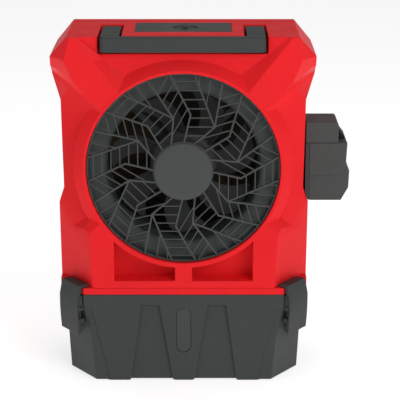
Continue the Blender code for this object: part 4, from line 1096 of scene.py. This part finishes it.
def build_pack():
    low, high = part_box("battery_pack")
    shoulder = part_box("battery_dock")[0].z - GAP
    outline = [(low.x, low.z), (0.2150, low.z), (0.2250, 0.2610), (0.2260, 0.2850), (0.2210, WAIST)]
    outline += [(0.2225, shoulder), (low.x, shoulder)]
    pack = plate("pack", outline, FRONT_VIEW, low.y, high.y)
    neck_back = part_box("battery_dock")[1].y - 0.008
    join(pack, block("neck", (0.1745, low.y + 0.008, shoulder - 0.004), (0.2025, neck_back, high.z)))
    inner, outer, under = 0.15, 0.24, 0.23
    step = [(inner, under), (outer, under), (outer, WAIST), (0.2210, WAIST), (0.2145, 0.2790)]
    step.append((inner, 0.2790))
    for end, inward in ((low.y, 1), (high.y, -1)):
        first, last = sorted((end - PAST * inward, end + 0.0018 * inward))
        cut(pack, plate("lower_step", step, FRONT_VIEW, first, last))
    for i in range(4):
        z = 0.2990 + 0.0055 * i
        cut(pack, block("side_rib", (0.2211, low.y + 0.030, z), (outer, high.y - 0.008, z + 0.0024)))
    button_low, button_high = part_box("battery_release")
    play = 0.0004
    well = (button_low.x - play, button_low.y - play, button_low.z - 0.0028)
    cut(pack, block("well", well, (button_high.x + play, button_high.y + play, shoulder + PAST)))
    for y in (low.y + RAIL_INSET, high.y - RAIL_INSET):
        cut(pack, block("rail_slot", (0.16, y - 0.0033, under), (0.1749, y + 0.0033, shoulder + 0.001)))
    piece("pack", pack, "battery_pack", TRIM, 0.0008, 3, body="battery")

    low, high = button_low, button_high
    toe = 0.3275
    wedge = [(low.x, low.z), (high.x, low.z), (high.x, toe), (low.x, high.z)]
    button = plate("button", wedge, FRONT_VIEW, low.y, high.y)
    slope = Vector((high.x - low.x, 0, toe - high.z)).normalized()
    axes = (slope, Vector((-slope.z, 0, slope.x)), BACKWARD)
    half = 0.0006
    outline = [(-half, -half), (half, -half), (half, PAST), (-half, PAST)]
    for i in range(4):
        groove = plate("groove", outline, axes, low.y + 0.004, high.y - 0.004)
        groove.location = Vector((low.x, 0, high.z)) + slope * (0.0032 + 0.0030 * i)
        cut(button, groove)
    piece("release", button, "battery_release", BLACK, 0.0004, body="release")


# Tank

TANK_PLAN = ((0.001, 0.1195, 0.158), (0.075, 0.127, 0.1615), (0.109, 0.136, 0.163))
TRAPEZOID = ((0.0128, -0.01), (0.0741, -0.01), (0.058, 0.109), (0.033, 0.109))
SKID_BACK, SKID_TOP = 0.060, 0.004


def stadium(half, low, high):
    top = [(half * math.cos(a), high - half + half * math.sin(a)) for a in sweep(0, math.pi, 16)]
    return top + [(-x, low + high - z) for x, z in top]


def build_tank():
    low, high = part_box("water_tank")
    back = high.y
    plans = (*TANK_PLAN, (high.z, 0.136, 0.163))
    tank = loft("tank", [plan_ring(z, face, side, FRONT, back, 0.015) for z, face, side in plans])
    plans = ((0.007, 0.1195, 0.158), (0.075, 0.127, 0.1615), (high.z + PAST, 0.134, 0.163))
    ends = (FRONT + 0.006, back - 0.004)
    rings = [plan_ring(z, face - 0.003, side - 0.004, *ends, 0.012) for z, face, side in plans]
    cut(tank, loft("tank_inside", rings))

    def skid(name, low_x, high_x):
        join(tank, block(name, (low_x, FRONT + 0.0005, low.z), (high_x, SKID_BACK, SKID_TOP)))

    def sink(name, outline, side, depth):
        drawn = [(side * x, z) for x, z in outline]
        cut(tank, plate(name, drawn, FRONT_VIEW, FRONT - PAST, FRONT + depth))

    for side in (1, -1):
        sink("trapezoid", TRAPEZOID, side, 0.0042)
        skid("skid", *span(side, TRAPEZOID[1][0], 0.104))
        sink("outer_step", ((0.1255, 0.105), (0.0980, -0.01), (0.20, -0.01), (0.20, 0.105)), side, 0.0012)
    skid("middle_skid", -TRAPEZOID[0][0], TRAPEZOID[0][0])
    window_low, window_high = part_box("level_window")
    sink("window_hole", stadium(window_high.x + GAP, window_low.z - GAP, window_high.z + GAP), 1, 0.02)
    for name in FEET:
        cut(tank, upright("foot_seat", middle_of(f"foot_{name}"), -PAST, 0.0035, 0.0073, 40))
    x, _, z = middle_of("drain_plug")
    cut(tank, rod("drain_bore", (x, back - 0.02, z), (x, back + 0.02, z), 0.0063, 40))
    piece("tank", tank, "water_tank", DARK, 0.0006, 3, 18)

    outline = stadium(window_high.x, window_low.z, window_high.z)
    window = plate("window", outline, FRONT_VIEW, window_low.y, window_high.y)
    piece("window", window, "level_window", SMOKED, 0.0004, 3)


def build_feet():
    for name in FEET:
        low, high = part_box(f"foot_{name}")
        middle = (low + high) / 2
        radius = (high.x - low.x) / 2
        profile = [(0, high.z), (radius, high.z), (radius, 0.0006), (radius - 0.0006, 0.0), (0.004, 0.0)]
        profile += [(0.0035, 0.0005), (0, 0.0005)]
        foot = turned("foot", profile, (middle.x, middle.y, low.z), steps=40)
        piece(f"rubber_{name}", foot, f"foot_{name}", RUBBER, 0)


def build_drain():
    low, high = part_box("drain_plug")
    middle = (low + high) / 2
    radius = (high.x - low.x) / 2
    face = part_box("water_tank")[1].y + 0.0063
    bar_low = (middle.x - 0.008, face - 0.001, middle.z - 0.002)
    profile = [(0, 0.0), (radius - 0.001, 0.0), (radius, -0.001), (radius, -0.006), (0.0060, -0.006)]
    profile += [(0.0060, -0.014), (0, -0.014)]
    plug = turned("plug", profile, (middle.x, face, middle.z), TO_BACK, 60)
    join(plug, block("bar", bar_low, (middle.x + 0.008, high.y, middle.z + 0.002)))
    flutes = 18
    reach = radius + 0.0005
    for i in range(flutes):
        turn = 2 * math.pi * i / flutes
        x, z = middle.x + reach * math.cos(turn), middle.z + reach * math.sin(turn)
        cut(plug, rod("flute", (x, face - 0.005, z), (x, face + PAST, z), 0.0010, 10))
    piece("plug", plug, "drain_plug", BLACK, 0.0004, body="drain")


# Latches. Points are (distance out from the axis, height).

TANK_PIVOT = (0.1719, 0.1060)
LINK_PIVOT = (0.1695, 0.0795)
LATCH_HALF = 0.023
LUG_IN, LUG_OUT = 0.0175, 0.0205
PIN_BORE = 0.0018
CHAMFER_ANGLE = math.atan(CHAMFER_SLOPE)
LEVER_INSIDE = (
    (0.1600, 0.1372), (0.1600, 0.1340), (0.1706, 0.1340), (0.1712, 0.1290),
    (0.1768, 0.1130), (0.1768, 0.0950), (0.1745, 0.0670),
)
LEVER_OUTSIDE = (
    (0.1768, 0.0670), (0.1782, 0.0830), (0.1790, 0.1000),
    (0.1790, 0.1160), (0.1752, 0.1330), (0.1745, 0.1372),
)
LEVER_LUG = (
    (0.1672, 0.0890), (0.1662, 0.0850), (0.1659, 0.0795), (0.1663, 0.0750),
    (0.1680, 0.0700), (0.1755, 0.0690), (0.1772, 0.0890),
)
TANK_EAR = (
    (0.1672, 0.1000), (0.1748, 0.1000), (0.1755, 0.1012), (0.1755, 0.1110),
    (0.1720, 0.1215), (0.1691, 0.1215), (0.1691, 0.1090),
)


def latch_axes(side):
    outward = Vector((side * math.sin(CHAMFER_ANGLE), -math.cos(CHAMFER_ANGLE), 0))
    along = Vector((side * math.cos(CHAMFER_ANGLE), math.sin(CHAMFER_ANGLE), 0))
    return outward, UP, along


def latch_middle(side):
    middle = Vector((side * 0.1495, FRONT + 0.0135 * CHAMFER_SLOPE, 0))
    return middle.dot(latch_axes(side)[2])


def latch_plate(name, outline, side, low, high):
    middle = latch_middle(side)
    return plate(name, outline, latch_axes(side), middle + low, middle + high)


def latch_rod(name, pivot, side, radius, half, segments=28):
    outward, up, along = latch_axes(side)
    centre = outward * pivot[0] + up * pivot[1] + along * latch_middle(side)
    return rod(name, centre - along * half, centre + along * half, radius, segments)


def build_latch(side):
    name = "right" if side > 0 else "left"
    strip = [(0.1691, 0.1140), (0.1691, 0.1205), (0.1712, 0.1205), (0.1712, 0.1140)]
    bracket = latch_plate("strip", strip, side, -LUG_OUT + GAP, LUG_OUT - GAP)
    lever = latch_plate("lever", LEVER_INSIDE + LEVER_OUTSIDE, side, -LATCH_HALF, LATCH_HALF)
    for low, high in ((LUG_IN, LUG_OUT), (-LUG_OUT, -LUG_IN)):
        join(bracket, latch_plate("ear", TANK_EAR, side, low, high))
        join(lever, latch_plate("lug", LEVER_LUG, side, low, high))
    cut(bracket, latch_rod("bore", TANK_PIVOT, side, PIN_BORE, LATCH_HALF + 0.004))
    cut(lever, latch_rod("bore", LINK_PIVOT, side, PIN_BORE, LATCH_HALF - 0.001))
    piece(f"bracket_{name}", bracket, f"latch_bracket_{name}", DARK, 0.0004)
    piece(f"lever_{name}", lever, f"latch_lever_{name}", LATCH, 0.0007, 3, 14, body=f"lever_{name}")

    half = LUG_IN - 0.0007
    high, low = TANK_PIVOT[1] - 0.0025, LINK_PIVOT[1] + 0.0025
    thin = 0.0015
    web = [(TANK_PIVOT[0] - thin, high), (TANK_PIVOT[0] + thin, high)]
    web += [(LINK_PIVOT[0] + thin, low), (LINK_PIVOT[0] - thin, low)]
    link = latch_plate("link", web, side, -half, half)
    for pivot in (TANK_PIVOT, LINK_PIVOT):
        join(link, latch_rod("barrel", pivot, side, 0.0033, half))
    for pivot in (TANK_PIVOT, LINK_PIVOT):
        cut(link, latch_rod("bore", pivot, side, PIN_BORE, LATCH_HALF))
    window = [(0.16, low + 0.004), (0.18, low + 0.004), (0.18, high - 0.004), (0.16, high - 0.004)]
    cut(link, latch_plate("window", window, side, -0.011, 0.011))
    piece(f"link_{name}", link, f"latch_link_{name}", LATCH, 0.0004, body=f"link_{name}")

    pins = (("tank_pin", TANK_PIVOT, "root"), ("link_pin", LINK_PIVOT, f"link_{name}"))
    for pin_name, pivot, body in pins:
        pin = latch_rod("pin", pivot, side, 0.0015, LUG_OUT)
        piece(f"{pin_name}_{name}", pin, f"latch_{pin_name}_{name}", BLACK, 0.0002, 1, body=body)


# Nodes that keep their own shape and get a better material

def refinish():
    for node, finish in (
        ("water_distributor", BLACK),
        ("water_pump", BLACK),
        ("pump_hose", RUBBER),
        ("rotary_switch", BLACK),
        ("control_board", BOARD),
        ("dock_contacts", BRASS),
    ):
        obj = frame["nodes"][node]
        obj.data.materials.clear()
        obj.data.materials.append(finish)


# Stage

def area_light(name, source, aim, size, power):
    lamp = bpy.data.lights.new(name, "AREA")
    lamp.shape = "RECTANGLE"
    lamp.size = lamp.size_y = size
    lamp.energy = power
    obj = in_scene(name, lamp)
    obj.location = source
    obj.rotation_euler = (Vector(aim) - Vector(source)).to_track_quat("-Z", "Y").to_euler()


def make_stage():
    build = bmesh.new()
    bmesh.ops.create_grid(build, x_segments=2, y_segments=2, size=40.0)
    mesh = bpy.data.meshes.new("floor")
    build.to_mesh(mesh)
    build.free()
    mesh.materials.append(floor_finish())
    in_scene("floor", mesh)

    world = bpy.data.worlds.new("studio")
    world.use_nodes = True
    background = world.node_tree.nodes["Background"].inputs
    background["Color"].default_value = (1.0, 1.0, 1.0, 1.0)
    background["Strength"].default_value = 0.32
    bpy.context.scene.world = world
    middle = (0.0, 0.0, 0.26)
    area_light("key", (1.3, -2.0, 1.5), middle, 1.2, 20)
    area_light("fill", (-1.6, -1.8, 0.9), middle, 1.6, 1)
    area_light("top", (0.0, 0.3, 2.2), middle, 1.8, 7)
    bpy.context.scene.view_settings.view_transform = "Standard"


def main():
    make_camera()
    for build in (build_base_rim, build_front_shell, build_bezel, build_rear_shell, build_louvre, build_pad):
        build()
    for build in (build_duct, build_bracket, build_motor, build_fan, build_grille):
        build()
    for build in (build_handle, build_panel, build_dock, build_pack, build_tank, build_feet, build_drain):
        build()
    both_sides(build_latch)
    refinish()
    make_stage()
    clear_scratch()


main()
